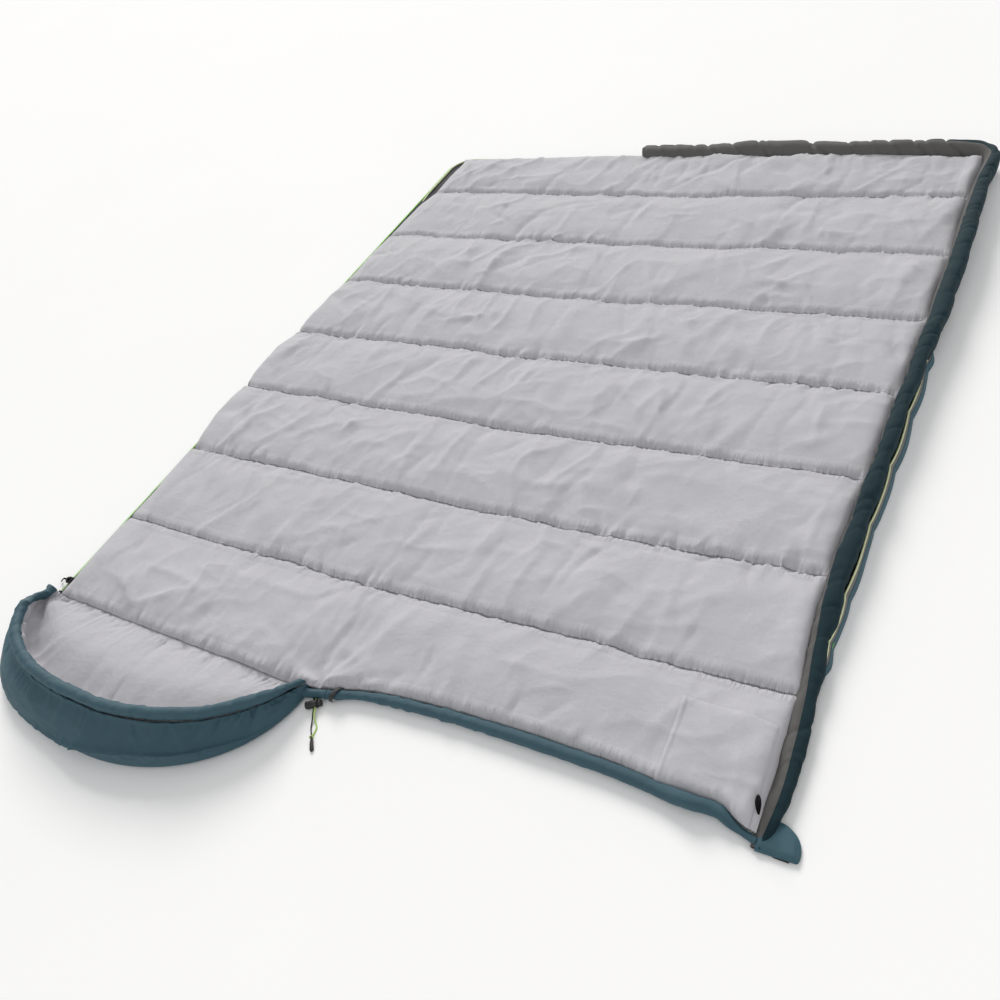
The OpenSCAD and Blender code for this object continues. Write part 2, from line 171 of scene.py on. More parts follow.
def distances(points):
    """How far along a line of points each one lies."""
    return np.concatenate([[0], np.cumsum(np.linalg.norm(np.diff(points, axis=0), axis=-1))])


def flat_cloth(grid):
    """Flat coordinates of a grid: the distances along its middle row and column."""
    rows, columns = grid.shape[:2]
    u, v = distances(grid[rows // 2]), distances(grid[:, columns // 2])
    u, v = np.broadcast_arrays(u[None, :], v[:, None])
    return np.stack([u, v, 0 * u], -1)


def closed_sweep(name, rings, material, flip=False):
    """A closed solid from rings (stations, sides, 3), with flat ends."""
    stations, sides = rings.shape[:2]
    ends = [list(range(sides)), [(stations - 1) * sides + k for k in range(sides - 1, -1, -1)]]
    if not flip:
        ends = [end[::-1] for end in ends]
    faces = grid_faces(stations, sides, True, flip).tolist() + ends
    return make_piece(name, rings, faces, material, ring_cloth(rings))


def ring_cloth(rings):
    """Flat coordinates of a swept tube: round it, and along it."""
    girth = np.linalg.norm(rings[0] - np.roll(rings[0], 1, axis=0), axis=-1).sum()
    u, v = np.broadcast_arrays(np.linspace(0, girth, rings.shape[1])[None, :],
                               distances(rings.mean(1))[:, None])
    return np.stack([u, v, 0 * u], -1)


def tube_rings(path, radius, sides=10):
    """Round rings about a path (n, 3)."""
    tangent = unit(np.gradient(path, axis=0))
    side = unit(np.cross(tangent, [0.02, 0.01, 1.0]))
    up = np.cross(side, tangent)
    angle = turns(sides)
    return path[:, None] + radius * (np.cos(angle)[None, :, None] * side[:, None]
                                     + np.sin(angle)[None, :, None] * up[:, None])


def edge_path(reach, corner, start_y, end_x, step):
    """A line round the side, the far corner and the foot of the cover half.

    reach is how far it lies outside the half's own edge, corner its radius there. Returns the
    points, the outward directions and the distance along."""
    x, y = HALF_WIDTH + reach, BAG_LENGTH + reach
    side, arc, foot = y - corner - start_y, corner * math.pi / 2, x - corner - end_x
    total = side + arc + foot
    s = np.linspace(0, total, max(2, int(round(total / step)) + 1))
    angle = np.clip((s - side) / corner, 0, math.pi / 2)
    out = np.stack([np.cos(angle), np.sin(angle)], -1)
    centre = np.array([x - corner, y - corner])
    points = centre + corner * out
    points[:, 1] -= np.clip(side - s, 0, None)
    points[:, 0] -= np.clip(s - side - arc, 0, None)
    return points, out, s


def at_height(flat, z):
    """Plan points (n, 2) lifted to the height z."""
    return np.column_stack([flat, np.broadcast_to(z, len(flat))])


def mirrored(points):
    return points * np.array([-1, 1, 1])


def finish_piece(piece, body, slot, *nodes):
    """Rides a piece on its body and hides the CAD nodes that it stands for; its slot is not used.
    """
    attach(piece, body)
    if nodes:
        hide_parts(*nodes)
    return piece


# ---- materials ----

class Graph:
    """The node tree of one new material, with the steps that the recipes share."""

    def __init__(self, name):
        self.material = bpy.data.materials.new(name)
        self.material.use_nodes = True
        self.tree = self.material.node_tree

    def give(self, socket, value):
        """Links an output to the socket, or sets a plain value on it."""
        if isinstance(value, bpy.types.NodeSocket):
            self.tree.links.new(value, socket)
        else:
            socket.default_value = value

    def add(self, kind, **inputs):
        node = self.tree.nodes.new("ShaderNode" + kind)
        for key, value in inputs.items():
            self.give(node.inputs[key], value)
        return node

    def math(self, operation, *values):
        node = self.add("Math")
        node.operation = operation
        for socket, value in zip(node.inputs, values):
            self.give(socket, value)
        return node.outputs[0]

    def wave(self, value, pitch):
        """A sine that repeats every pitch."""
        return self.math("SINE", self.math("MULTIPLY", value, 2 * math.pi / pitch))

    def noise(self, vector, scale, detail=3.0, roughness=0.55):
        node = self.add("TexNoise", Scale=scale, Detail=detail, Roughness=roughness, Vector=vector)
        return node.outputs["Fac"]

    def ramp(self, value, *stops):
        """A colour ramp with stops (position, (r, g, b))."""
        node = self.add("ValToRGB", Fac=value)
        elements = node.color_ramp.elements
        while len(elements) < len(stops):
            elements.new(0.5)
        for element, (position, colour) in zip(elements, stops):
            element.position = position
            element.color = (*colour, 1)
        return node.outputs["Color"]

    def bump(self, height, distance, strength=1.0, after=None):
        node = self.add("Bump", Strength=strength, Distance=distance, Height=height)
        if after is not None:
            self.give(node.inputs["Normal"], after)
        return node.outputs["Normal"]

    def cloth(self):
        """The flat coordinates, as a vector and as its first two parts."""
        flat = self.add("Attribute")
        flat.attribute_name = "cloth"
        parts = self.add("SeparateXYZ", Vector=flat.outputs["Vector"])
        return flat.outputs["Vector"], parts.outputs[0], parts.outputs[1]

    def finish(self, **inputs):
        """Sets the shader's sockets; an underscore stands for a space in their names."""
        for key, value in inputs.items():
            self.give(self.tree.nodes["Principled BSDF"].inputs[key.replace("_", " ")], value)
        return self.material


def shade(colour, factor):
    return tuple(min(1.0, c * factor) for c in colour)


def fabric(name, colour, thread, roughness, sheen, spread=0.06, crinkle=0.0006, stitches=False,
           gloss=0.5):
    """Woven cloth: thread bump, fine crinkles, slight mottling, and rows of stitches if asked."""
    graph = Graph(name)
    vector, u, v = graph.cloth()
    weave = graph.math("MULTIPLY", graph.wave(u, thread), graph.wave(v, thread))
    mottle = graph.math("MULTIPLY", graph.noise(vector, 9.0, 5.0), 0.75)
    slub = graph.math("MULTIPLY", graph.noise(vector, 420.0, 2.0), 0.25)
    base = graph.ramp(graph.math("ADD", mottle, slub),
                      (0.3, shade(colour, 1 - spread)), (0.7, shade(colour, 1 + spread)))
    surface = graph.bump(graph.noise(vector, 38.0, 6.0, 0.6), crinkle)
    surface = graph.bump(weave, thread * 0.18, 0.7, surface)
    if stitches:
        base, surface = stitch_rows(graph, vector, u, v, base, surface, colour)
    return graph.finish(Base_Color=base, Normal=surface, Roughness=roughness,
                        Specular_IOR_Level=gloss, Sheen_Weight=sheen, Sheen_Roughness=0.45,
                        Sheen_Tint=(*shade(colour, 1.6), 1))


STITCH = 0.0042         # length of one stitch and its gap
THREAD_HALF = 0.0015    # half the width of the dark line
THREAD_SHADE = 0.36
WANDER = 0.006          # how far a row strays from its straight line
PUCKERS = 170.0         # fine puckers per metre beside a row
PUCKER_REACH = 0.026
PUCKER_DEPTH = 0.0075


def stitch_rows(graph, vector, u, v, base, surface, colour):
    """Darkens and dents the cloth along every row of quilting, in separate stitches, and
    puckers it on both sides."""
    wander = graph.math("MULTIPLY", graph.noise(vector, 26.0), WANDER)
    placed = graph.math("ADD", graph.math("ADD", v, wander), PITCH - WANDER / 2)
    row = graph.math("PINGPONG", placed, PITCH / 2)
    near = graph.math("LESS_THAN", row, THREAD_HALF)
    mask = graph.math("MULTIPLY", near, graph.math("GREATER_THAN", graph.wave(u, STITCH), -0.45))
    mix = graph.add("Mix")
    mix.data_type = "RGBA"
    for key, value in (("Factor", mask), ("A", base), ("B", (*shade(colour, THREAD_SHADE), 1))):
        graph.give(mix.inputs[key], value)
    across = graph.add("VectorMath")
    across.operation = "MULTIPLY"
    graph.give(across.inputs[0], vector)
    graph.give(across.inputs[1], (PUCKERS, PUCKERS / 9, 1.0))
    pucker = graph.noise(across.outputs[0], 1.0, 2.0)
    fade = graph.math("SUBTRACT", 1.0, graph.math("DIVIDE", row, PUCKER_REACH))
    pucker = graph.math("MULTIPLY", pucker, graph.math("MAXIMUM", fade, 0.0))
    surface = graph.bump(pucker, PUCKER_DEPTH, 1.0, surface)
    return mix.outputs["Result"], graph.bump(mask, 0.0006, 0.6, surface)


def moulded(name, colour, roughness, metallic=0.0, grain=900.0, coat=0.0):
    """Moulded plastic or coated metal with a fine grain and slight wear."""
    graph = Graph(name)
    vector = graph.add("TexCoord").outputs["Object"]
    wear = graph.noise(vector, 90.0, 4.0)
    level = graph.add("MapRange", Value=wear)
    level.inputs["To Min"].default_value = roughness - 0.08
    level.inputs["To Max"].default_value = roughness + 0.1
    return graph.finish(
        Base_Color=graph.ramp(wear, (0.35, shade(colour, 0.85)), (0.75, shade(colour, 1.35))),
        Roughness=level.outputs[0], Normal=graph.bump(graph.noise(vector, grain), 0.00015, 0.5),
        Metallic=metallic, Coat_Weight=coat)


def braided(name, colour, fleck, pitch):
    """Braided cord or ribbed webbing: slanted strands in the flat coordinates."""
    graph = Graph(name)
    _, u, v = graph.cloth()
    first = graph.wave(graph.math("ADD", u, v), pitch)
    second = graph.wave(graph.math("SUBTRACT", v, u), pitch)
    braid = graph.math("MAXIMUM", first, second)
    return graph.finish(
        Base_Color=graph.ramp(braid, (0.1, shade(colour, 0.7)), (0.8, colour), (1.0, fleck)),
        Normal=graph.bump(braid, 0.0003, 0.8), Roughness=0.6, Sheen_Weight=0.15)


LINING = (0.555, 0.548, 0.578)
TEAL = (0.030, 0.088, 0.118)
# The shell's teal made a little lighter: painted light on the outer strip and the closure flap,
# which face up.
TEAL_IN_LIGHT = (0.032, 0.098, 0.130)
# The shell's teal made darker: painted shade on the draft tube's outer side, which faces away from
# the key light.
TEAL_IN_SHADE = (0.0050, 0.0265, 0.0355)
GREY = (0.115, 0.112, 0.108)
WARM_GREY = (0.235, 0.225, 0.215)
TAPE_BLACK = (0.014, 0.014, 0.016)
TAB_BLACK = (0.004, 0.004, 0.005)
LIME = (0.300, 0.740, 0.060)
CREAM = (0.900, 0.960, 0.560)
YELLOW_LIME = (0.560, 0.860, 0.160)

lining_fabric = fabric("lining_fabric", LINING, 0.0011, 0.82, 0.12, 0.025, 0.0026, stitches=True)
hood_lining_fabric = fabric("hood_lining_fabric", LINING, 0.0011, 0.82, 0.12, 0.025, 0.0026)
shell_fabric = fabric("shell_fabric", TEAL, 0.0008, 0.58, 0.22, 0.10, 0.0008)
# Painted light: the shell cloth in a lighter teal for the outer strip and the closure flap.
lit_strip_fabric = fabric("lit_strip_fabric", TEAL_IN_LIGHT, 0.0008, 0.55, 0.22, 0.08, 0.0005)
# Painted shade: the shell cloth in a darker teal for the draft tube's outer side.
shaded_tube_shell_fabric = fabric("shaded_tube_shell_fabric", TEAL_IN_SHADE, 0.0008, 0.72, 0.04, 0.10, 0.0016,
                           gloss=0.25)
tube_fabric = fabric("tube_fabric", GREY, 0.0009, 0.80, 0.25, 0.10, 0.0008)
facing_fabric = fabric("facing_fabric", WARM_GREY, 0.0009, 0.80, 0.25, 0.06, 0.0006)
zip_tape_fabric = fabric("zip_tape_fabric", TAPE_BLACK, 0.0016, 0.72, 0.2, 0.15, 0.0003)
tab_fabric = fabric("tab_fabric", TAB_BLACK, 0.0012, 0.85, 0.0, 0.10, 0.0003, gloss=0.1)
coil_nylon = moulded("coil_nylon", LIME, 0.38, grain=1500.0)
piping_cord = fabric("piping_cord", CREAM, 0.0010, 0.45, 0.1, 0.05, 0.0002)
webbing = braided("webbing", (0.015, 0.015, 0.016), (0.045, 0.045, 0.048), 0.0024)
dark_cord = braided("dark_cord", (0.014, 0.014, 0.015), (0.050, 0.050, 0.052), 0.0018)
lime_cord = braided("lime_cord", YELLOW_LIME, (0.800, 0.950, 0.420), 0.0018)
black_plastic = moulded("black_plastic", (0.012, 0.012, 0.013), 0.42, coat=0.1)
grip_plastic = moulded("grip_plastic", (0.018, 0.018, 0.020), 0.55, grain=1400.0)
slider_metal = moulded("slider_metal", (0.030, 0.030, 0.033), 0.35, 0.85, 1200.0, 0.2)
spring_steel = moulded("spring_steel", (0.56, 0.55, 0.53), 0.25, 1.0, 2000.0)


# ---- cords ----

# Both routes and the knot's place are in the cord lock's own directions, in millimetres.
LOCK_AT = np.array([-0.018, -0.027, 0.0076])
LOCK_TURN = math.radians(30)
CORD_DIAMETER = 0.0026
KNOT_CORD = 0.00118         # radius of the cord pulled tight in the knot
DARK_ROUTE = [
    (-1.5, 13, 0), (-1.5, 5, 0), (-1.5, -5, 0), (-1.5, -15, 0), (-1.5, -22, 0), (-1.7, -27, -1),
    (-2.6, -33, -3.4), (-3.8, -39, -5.4), (-4.4, -45, -6.1), (-4.2, -51, -6.1), (-3.2, -57, -6.1),
    (-2.2, -62, -6.1), (-1.5, -66, -6),
]
LIME_ROUTE = [
    (1.5, 13, 0), (1.5, 5, 0), (1.5, -5, 0), (1.5, -15, 0), (1.5, -22, 0), (1.6, -27, -1),
    (2.2, -33, -3.4), (4.2, -39, -5.4), (6.5, -45, -6.1), (7, -51, -6.1), (5.4, -57, -6.1),
    (3.2, -62, -6.1), (1.5, -66, -6),
]
KNOT_AT = (0, -70, -3.4)


def from_lock(points):
    """Points in the cord lock's own directions, in millimetres, to the bag's frame in metres."""
    points = np.asarray(points, float) / 1000
    c, s = math.cos(LOCK_TURN), math.sin(LOCK_TURN)
    turn = np.array([[c, -s, 0], [s, c, 0], [0, 0, 1]])
    return points @ turn.T + LOCK_AT


def make_strand(name, route, material):
    """One drawcord strand as a curve along its route, and its length."""
    points = from_lock(route)
    curve = bpy.data.curves.new(name, "CURVE")
    curve.dimensions = "3D"
    curve.bevel_depth = CORD_DIAMETER / 2
    curve.bevel_resolution = 4
    curve.use_fill_caps = True
    spline = curve.splines.new("POLY")
    knots = np.arange(len(points))
    fine = through(knots, points, np.linspace(0, len(points) - 1, 8 * len(points)))
    spline.points.add(len(fine) - 1)
    for point, place in zip(spline.points, fine + ORIGIN):
        point.co = (*place, 1)
    curve.materials.append(material)
    strand = bpy.data.objects.new(name, curve)
    bpy.context.collection.objects.link(strand)
    return strand, float(np.linalg.norm(np.diff(fine, axis=0), axis=-1).sum())


def knot_path(turn, size, count=72):
    """A trefoil, as an overhand knot pulled tight, turned about its axis."""
    t = turns(count)
    x = np.sin(t) + 2 * np.sin(2 * t)
    y = np.cos(t) - 2 * np.cos(2 * t)
    z = -np.sin(3 * t)
    c, s = math.cos(turn), math.sin(turn)
    return np.stack([c * x - s * y, s * x + c * y, 1.1 * z], -1) * size


def make_knot(name, turn, size, lift, material):
    path = knot_path(turn, size)
    path = from_lock(path[:, [0, 2, 1]] + np.array(KNOT_AT) + np.array([0, lift, 0]))
    around = np.concatenate([path[-1:], path, path[:1]])
    tangent = unit(around[2:] - around[:-2])
    side = unit(np.cross(tangent, [0.31, 0.17, 0.93]))
    up = np.cross(side, tangent)
    angle = turns(8)
    rings = path[:, None] + KNOT_CORD * (np.cos(angle)[None, :, None] * side[:, None]
                                         + np.sin(angle)[None, :, None] * up[:, None])
    faces = grid_faces(len(path) + 1, 8, True) % (len(path) * 8)
    return make_piece(name, rings, faces, material, ring_cloth(rings))


def make_end_tab():
    """The moulded pull on the cord's end: tapered, with grip ridges across it."""
    stations = np.linspace(0, 1, 41)
    half_width = through([0, 0.25, 0.6, 0.92, 1], [2.0, 3.2, 3.7, 3.5, 2.4], stations)
    half_depth = through([0, 0.3, 0.7, 1], [1.7, 2.0, 1.9, 1.2], stations)
    ridge = 0.28 * np.maximum(0, np.sin(stations * math.pi * 16)) * ease(0.25, 0.4, stations)
    ridge = ridge * (1 - ease(0.82, 0.9, stations))
    angle = turns(20)
    c = np.sign(np.cos(angle)) * np.abs(np.cos(angle)) ** 0.55
    s = np.sign(np.sin(angle)) * np.abs(np.sin(angle)) ** 0.55
    x = (half_width + ridge * 0.4)[:, None] * c[None]
    z = (half_depth + ridge)[:, None] * s[None]
    y = -26 * stations[:, None] + 0 * x
    tilt = math.radians(8)
    local = np.stack([x * math.cos(tilt) - y * math.sin(tilt),
                      x * math.sin(tilt) + y * math.cos(tilt) + KNOT_AT[1] - 4.1, z - 5.1], -1)
    return closed_sweep("cord_pull_tab", from_lock(local), grip_plastic, flip=True)


dark_strand, dark_length = make_strand("drawcord_dark_strand", DARK_ROUTE, dark_cord)
lime_strand, lime_length = make_strand("drawcord_lime_strand", LIME_ROUTE, lime_cord)
lime_knot = make_knot("drawcord_lime_knot", 0.0, 1.15, -0.2, lime_cord)
dark_knot = make_knot("drawcord_dark_knot", 1.05, 0.95, -1.0, dark_cord)
pull_tab = make_end_tab()
for piece, node, slot in ((dark_strand, "cord_strand_dark", "dark_cord"),
                          (lime_strand, "cord_strand_lime", "lime_cord"),
                          (lime_knot, "cord_knot", "lime_cord"),
                          (dark_knot, "cord_knot", "dark_cord"),
                          (pull_tab, "cord_end_tab", "black_plastic")):
    finish_piece(piece, "base_half", slot, node)


# ---- the quilt's two sheets ----

COLUMNS = 281
CHANNEL_ROWS, FOOT_ROWS = 42, 35   # rows of the grid in a whole channel and in the last one


def left_edge(y):
    """Where the lining ends on the zip side of the base half."""
    wave = 0.004 * noise(y * 7, 0.3, 21) + 0.0025 * noise(y * 23, 0.7, 22)
    return through([0, 0.15, 0.3, 0.9, 1.3, 1.6, 1.8, 2.0],
                   [-0.843, -0.843, -0.846, -0.850, -0.849, -0.842, -0.818, -0.803],
                   np.clip(y, 0, 2)) + wave


def right_edge(y):
    """Where the lining meets the draft tube."""
    return through([0, 0.26, 0.38, 0.53, 0.66, 0.83, 1.03, 1.3, 1.55, 1.8, 2.0],
                   [0.834, 0.829, 0.819, 0.809, 0.813, 0.816, 0.821, 0.824, 0.824, 0.823, 0.832],
                   np.clip(y, 0, 2)) + 0.0025 * noise(y * 11, 0.5, 23)


def head_edge(x):
    """Where the lining meets the hood seam, or the drawcord channel of the cover half."""
    return through([-0.9, -0.25, -0.05, 0.0, 0.07, 0.20, 0.33,
                    0.49, 0.61, 0.68, 0.73, 0.775, 0.80, 0.85],
                   [0.0, -0.005, -0.002, 0.010, 0.030, 0.047, 0.055,
                    0.059, 0.058, 0.053, 0.052, 0.052, 0.038, 0.023],
                   np.clip(x, -0.9, 0.85))


def foot_edge(x):
    """Where the lining ends at the foot."""
    wave = 0.003 + 0.006 * ease(-0.2, 0.1, x)
    return through([-0.86, -0.4, -0.16, -0.05, 0.05, 0.4, 0.83],
                   [1.976, 1.990, 1.996, 1.988, 1.978, 1.978, 1.976],
                   np.clip(x, -0.86, 0.83)) + wave * noise(x * 11, 0.2, 24)


SEAM_DRIFT = 0.021      # how far the rows on the cover half lie towards the foot


def quilt_plan():
    """Flat positions of the lining's grid, the place in its channel, and the seam rows."""
    channels = [np.arange(CHANNEL_ROWS) / CHANNEL_ROWS] * CHANNELS
    channels.append(np.arange(FOOT_ROWS + 1) / FOOT_ROWS)
    share = np.concatenate(channels)
    index = np.concatenate([[k] * len(c) for k, c in enumerate(channels)])
    depth = np.where(index < CHANNELS, PITCH, BAG_LENGTH - CHANNELS * PITCH)
    row_y = index * PITCH + share * depth
    u = np.linspace(0, 1, COLUMNS)[None, :]
    y = row_y[:, None] + 0 * u
    x = left_edge(y) + (right_edge(y) - left_edge(y)) * u
    y = y + head_edge(x) * (1 - ease(0, PITCH, y))
    y = y + (foot_edge(x) - BAG_LENGTH) * ease(CHANNELS * PITCH, BAG_LENGTH, row_y[:, None])
    inside = ease(0, PITCH, row_y) * (1 - ease(CHANNELS * PITCH, BAG_LENGTH, row_y))
    y = y + SEAM_DRIFT * ease(-0.1, 0.85, x) * inside[:, None]
    seams = np.array([k * CHANNEL_ROWS for k in range(CHANNELS + 1)])
    for k in seams[1:]:
        line = 0.0050 * noise(x[k] * 7, k * 0.37, 31) + 0.0026 * noise(x[k] * 40, k * 0.37, 32)
        y += line[None, :] * np.exp(-((row_y - row_y[k]) / 0.035) ** 2)[:, None]
    return x, y, row_y, share, seams


def add_crease(height, x, y, crease):
    """Adds one crease: its place, angle, length, width and rise, whether it runs one way from
    there, and its bend."""
    cx, cy, angle, length, width, rise, one_sided, bend = crease
    reach = length + 3 * width
    rows = slice(max(0, int((cy - reach) / BAG_LENGTH * len(y))),
                 int((cy + reach) / BAG_LENGTH * len(y)) + 2)
    first = (cx - reach + HALF_WIDTH) / (2 * HALF_WIDTH) * COLUMNS
    last = (cx + reach + HALF_WIDTH) / (2 * HALF_WIDTH) * COLUMNS
    columns = slice(max(0, int(first) - 1), max(1, int(last) + 3))
    dx, dy = x[rows, columns] - cx, y[rows, columns] - cy
    along = dx * math.cos(angle) + dy * math.sin(angle)
    across = dy * math.cos(angle) - dx * math.sin(angle) + bend * along ** 2 / length
    if one_sided:
        taper = np.clip(1 - along / length, 0, 1) ** 1.4 * (along > -0.003)
        width = width * (1 + 1.2 * np.clip(along / length, 0, 1))
    else:
        taper = np.clip(1 - (2 * along / length) ** 2, 0, 1) ** 1.5
    height[rows, columns] += rise * taper / (1 + (across / width) ** 2) ** 1.5


def quilt_creases(seams, row_y):
    """Gathers along the rows of stitches, long soft folds across the channels, and the folds
    that run out from the gathered cord exit at the fold."""
    random = np.random.RandomState(5)
    uniform, normal = random.uniform, random.normal
    creases = []
    for k in range(CHANNELS + 1):
        place = -HALF_WIDTH
        seam_y = row_y[seams[k]]
        while place < HALF_WIDTH - 0.02:
            place += uniform(0.008, 0.026)
            drift = SEAM_DRIFT * float(ease(-0.1, 0.85, place)) * (0 < k)
            pull = 0.35 + 0.75 * float(ease(-0.35, 0.5, noise(place * 4.5, k * 1.7, 41)))
            if k == 1:
                pull = max(pull, 1.15 * math.exp(-((place + 0.1) / 0.30) ** 2))
            for way in (-1, 1):
                if (k == 0 and (way < 0 or place > -0.1)) or random.rand() < 0.2:
                    continue
                angle = way * math.pi / 2 + normal(0, 0.42)
                length = uniform(0.016, 0.060) * (0.6 + pull)
                rise = uniform(-0.0088, 0.0064) * pull
                creases.append((place, seam_y + drift, angle, length, uniform(0.0034, 0.0075),
                                rise, True, uniform(-0.3, 0.3)))
    for k in range(CHANNELS + 1):
        middle = (row_y[seams[k]] + (row_y[seams[k + 1]] if k < CHANNELS else BAG_LENGTH)) / 2
        for _ in range(34):
            angle = normal(math.pi / 2 - 0.15, 0.50)
            creases.append((uniform(-0.82, 0.80), middle + uniform(-0.09, 0.09), angle,
                            uniform(0.07, 0.30), uniform(0.007, 0.020),
                            uniform(0.0022, 0.0062) * random.choice([-0.8, 1]), False,
                            uniform(-0.6, 0.6)))
        for _ in range(12):
            angle = normal(0, 0.35)
            creases.append((uniform(-0.80, 0.78), middle + uniform(-0.09, 0.09), angle,
                            uniform(0.06, 0.24), uniform(0.006, 0.016), uniform(0.0018, 0.0046),
                            False, uniform(-0.6, 0.6)))
    for k in range(15):
        angle = math.radians(22 + 10 * k + uniform(-4, 4))
        creases.append((-0.022, 0.006, angle, uniform(0.16, 0.38), uniform(0.005, 0.010),
                        random.choice([-0.0070, 0.0080]), True, uniform(-0.25, 0.25)))
    # Along the head of the cover half, then along its foot.
    for count, span, edge, way, turn, long, wide, rise in (
            (46, (0.03, 0.80), head_edge, 1, 0.40, (0.03, 0.14), (0.004, 0.009), (-0.0050, 0.0056)),
            (60, (-0.15, 0.81), foot_edge, -1, 0.35, (0.03, 0.13), (0.005, 0.010),
             (-0.0075, 0.0060))):
        for _ in range(count):
            place = uniform(*span)
            creases.append((place, float(edge(np.array([place]))[0]),
                            way * math.pi / 2 + normal(0, turn), uniform(*long), uniform(*wide),
                            uniform(*rise), True, uniform(-0.3, 0.3)))
    return creases


def ridges(x, y, angle, wave, stretch, seed):
    """Thin wandering ridges about a wave apart, drawn out along the angle, between 0 and 1."""
    u = (x * math.cos(angle) + y * math.sin(angle)) / (wave * stretch)
    v = (y * math.cos(angle) - x * math.sin(angle)) / wave
    v = v + 0.8 * noise(u * 1.7, v * 0.4, seed + 1)
    patch = ease(-0.35, 0.35, noise(x * 3.3, y * 3.3, seed + 2))
    return (1 - np.abs(noise(u, v, seed))) ** 4 * patch


def rounded(distance, radius):
    """A quarter-round shoulder: 0 at the edge, 1 from radius inwards."""
    return np.sqrt(np.clip(1 - (1 - np.clip(distance / radius, 0, 1)) ** 2, 0, 1))


# Height, direction in degrees, spacing and stretch of each set of ridges; the seeds count up.
RIDGES = ((0.0064, 76, 0.085, 2.6), (0.0044, 118, 0.070, 2.4), (-0.0040, 95, 0.075, 3.0),
          (0.0034, 15, 0.080, 2.6), (0.0022, 60, 0.040, 2.2))
SIDE_HEIGHT, TUBE_SIDE_HEIGHT, HEAD_HEIGHT = 0.0125, 0.018, 0.016   # heights of the sheet's edges


def quilt_height(x, y, row_y, share, seams):
    """The lining's height over the ground before the cloth settles."""
    puff = np.sin(math.pi * np.clip(share, 0, 1)) ** 0.5
    foot = row_y >= CHANNELS * PITCH
    puff[foot] = np.minimum(1, puff[foot] + ease(0.5, 0.8, share[foot]) * 0.6)
    soft = 1 + 0.26 * noise(x * 3.1 + 2, y * 3.7, 51) + 0.16 * noise(x * 8, y * 9, 52)
    height = SEAM - 0.005 + (CREST - SEAM + 0.004) * puff[:, None] * soft
    relief = 0.0034 * noise(x * 14 + 6 * y, y * 11, 53) + 0.0018 * noise(x * 30, y * 26 + 5 * x, 54)
    for k, (rise, angle, wave, stretch) in enumerate(RIDGES):
        relief += rise * ridges(x, y, math.radians(angle), wave, stretch, 200 + 10 * k)
    height += relief * (0.25 + 0.75 * puff[:, None])
    height += 0.008 * np.exp(-(row_y / 0.022) ** 2)[:, None] * ease(0.0, -0.10, -x - 0.10)
    near = np.minimum(share, 1 - share) * PITCH
    height -= 0.0035 * np.exp(-(near / 0.007) ** 2)[:, None]
    for crease in quilt_creases(seams, row_y):
        add_crease(height, x, y, crease)
    beside_fold = x + 0.040 + 0.006 * noise(y * 4, 0.1, 55)
    height -= 0.0030 * np.exp(-(beside_fold / 0.010) ** 2) * puff[:, None]
    height = SIDE_HEIGHT + (height - SIDE_HEIGHT) * rounded(x - x[:, :1], 0.050)
    height = TUBE_SIDE_HEIGHT + (height - TUBE_SIDE_HEIGHT) * rounded(x[:, -1:] - x, 0.030)
    on_cover = ease(-0.07, 0.01, x)
    fallen = HEAD_HEIGHT + (height - HEAD_HEIGHT) * rounded(y - y[:1], 0.035)
    height = height * (1 - on_cover) + on_cover * fallen
    beside_tube = ease(-0.16, -0.10, x)
    rim = 0.025 + (0.011 + 0.007 * noise(x * 9, 0.4, 57)) * beside_tube
    height = height + 0.006 * ease(0.5, 1.0, share)[:, None] * foot[:, None] * beside_tube
    height = rim + (height - rim) * rounded(y[-1:] - y, 0.045)
    return np.maximum(height, 0.010)


ROUNDS = 60
WARP_SLACK = 0.004      # extra length of the threads across the rows
BENDING = 0.035         # share of a bend taken out in one round
FILLING = 0.09          # share of the way back to the padded height
HOLDING = 0.01          # share of the way back to the flat place


def settle_cloth(grid, height, seams, slack):
    """Position-based cloth: threads keep a length a little longer than the padded shape needs, the
    filling holds the sheet up, rows of stitches and the border stay put, and the rest gathers."""
    rest = grid.copy()
    rest[..., 2] = height
    free = np.ones(height.shape)
    free[[0, -1]] = 0
    free[:, [0, -1]] = 0
    weft = np.linalg.norm(np.diff(rest, axis=1), axis=-1) * (1 + slack[:, None])
    warp = np.linalg.norm(np.diff(rest, axis=0), axis=-1) * (1 + WARP_SLACK)

    def pull(first, second, length):
        gap = grid[second] - grid[first]
        distance = np.linalg.norm(gap, axis=-1)
        weight = free[first] + free[second]
        share = (distance - length) / np.maximum(distance * weight, 1e-9)
        grid[first] += (share * free[first])[..., None] * gap
        grid[second] -= (share * free[second])[..., None] * gap

    every = slice(None)
    for _ in range(ROUNDS):
        for start in (0, 1):
            lengths = weft[:, start::2]
            end = start + 2 * lengths.shape[1]
            pull((every, slice(start, end, 2)), (every, slice(start + 1, end + 1, 2)), lengths)
        for start in (0, 1):
            lengths = warp[start::2]
            end = start + 2 * len(lengths)
            pull((slice(start, end, 2), every), (slice(start + 1, end + 1, 2), every), lengths)
        z = grid[..., 2]
        bend = np.zeros_like(z)
        bend[:, 1:-1] += 0.5 * (z[:, 2:] + z[:, :-2]) - z[:, 1:-1]
        bend[1:-1] += 0.5 * (z[2:] + z[:-2]) - z[1:-1]
        bend[seams] = 0
        z += (BENDING * bend + FILLING * (height - z)) * free
        grid[seams, :, 1:] = rest[seams][..., 1:]
        grid[..., :2] += HOLDING * (rest[..., :2] - grid[..., :2])
    return grid


SIDE_SWELL = 0.030      # how far the padding bulges over the zip


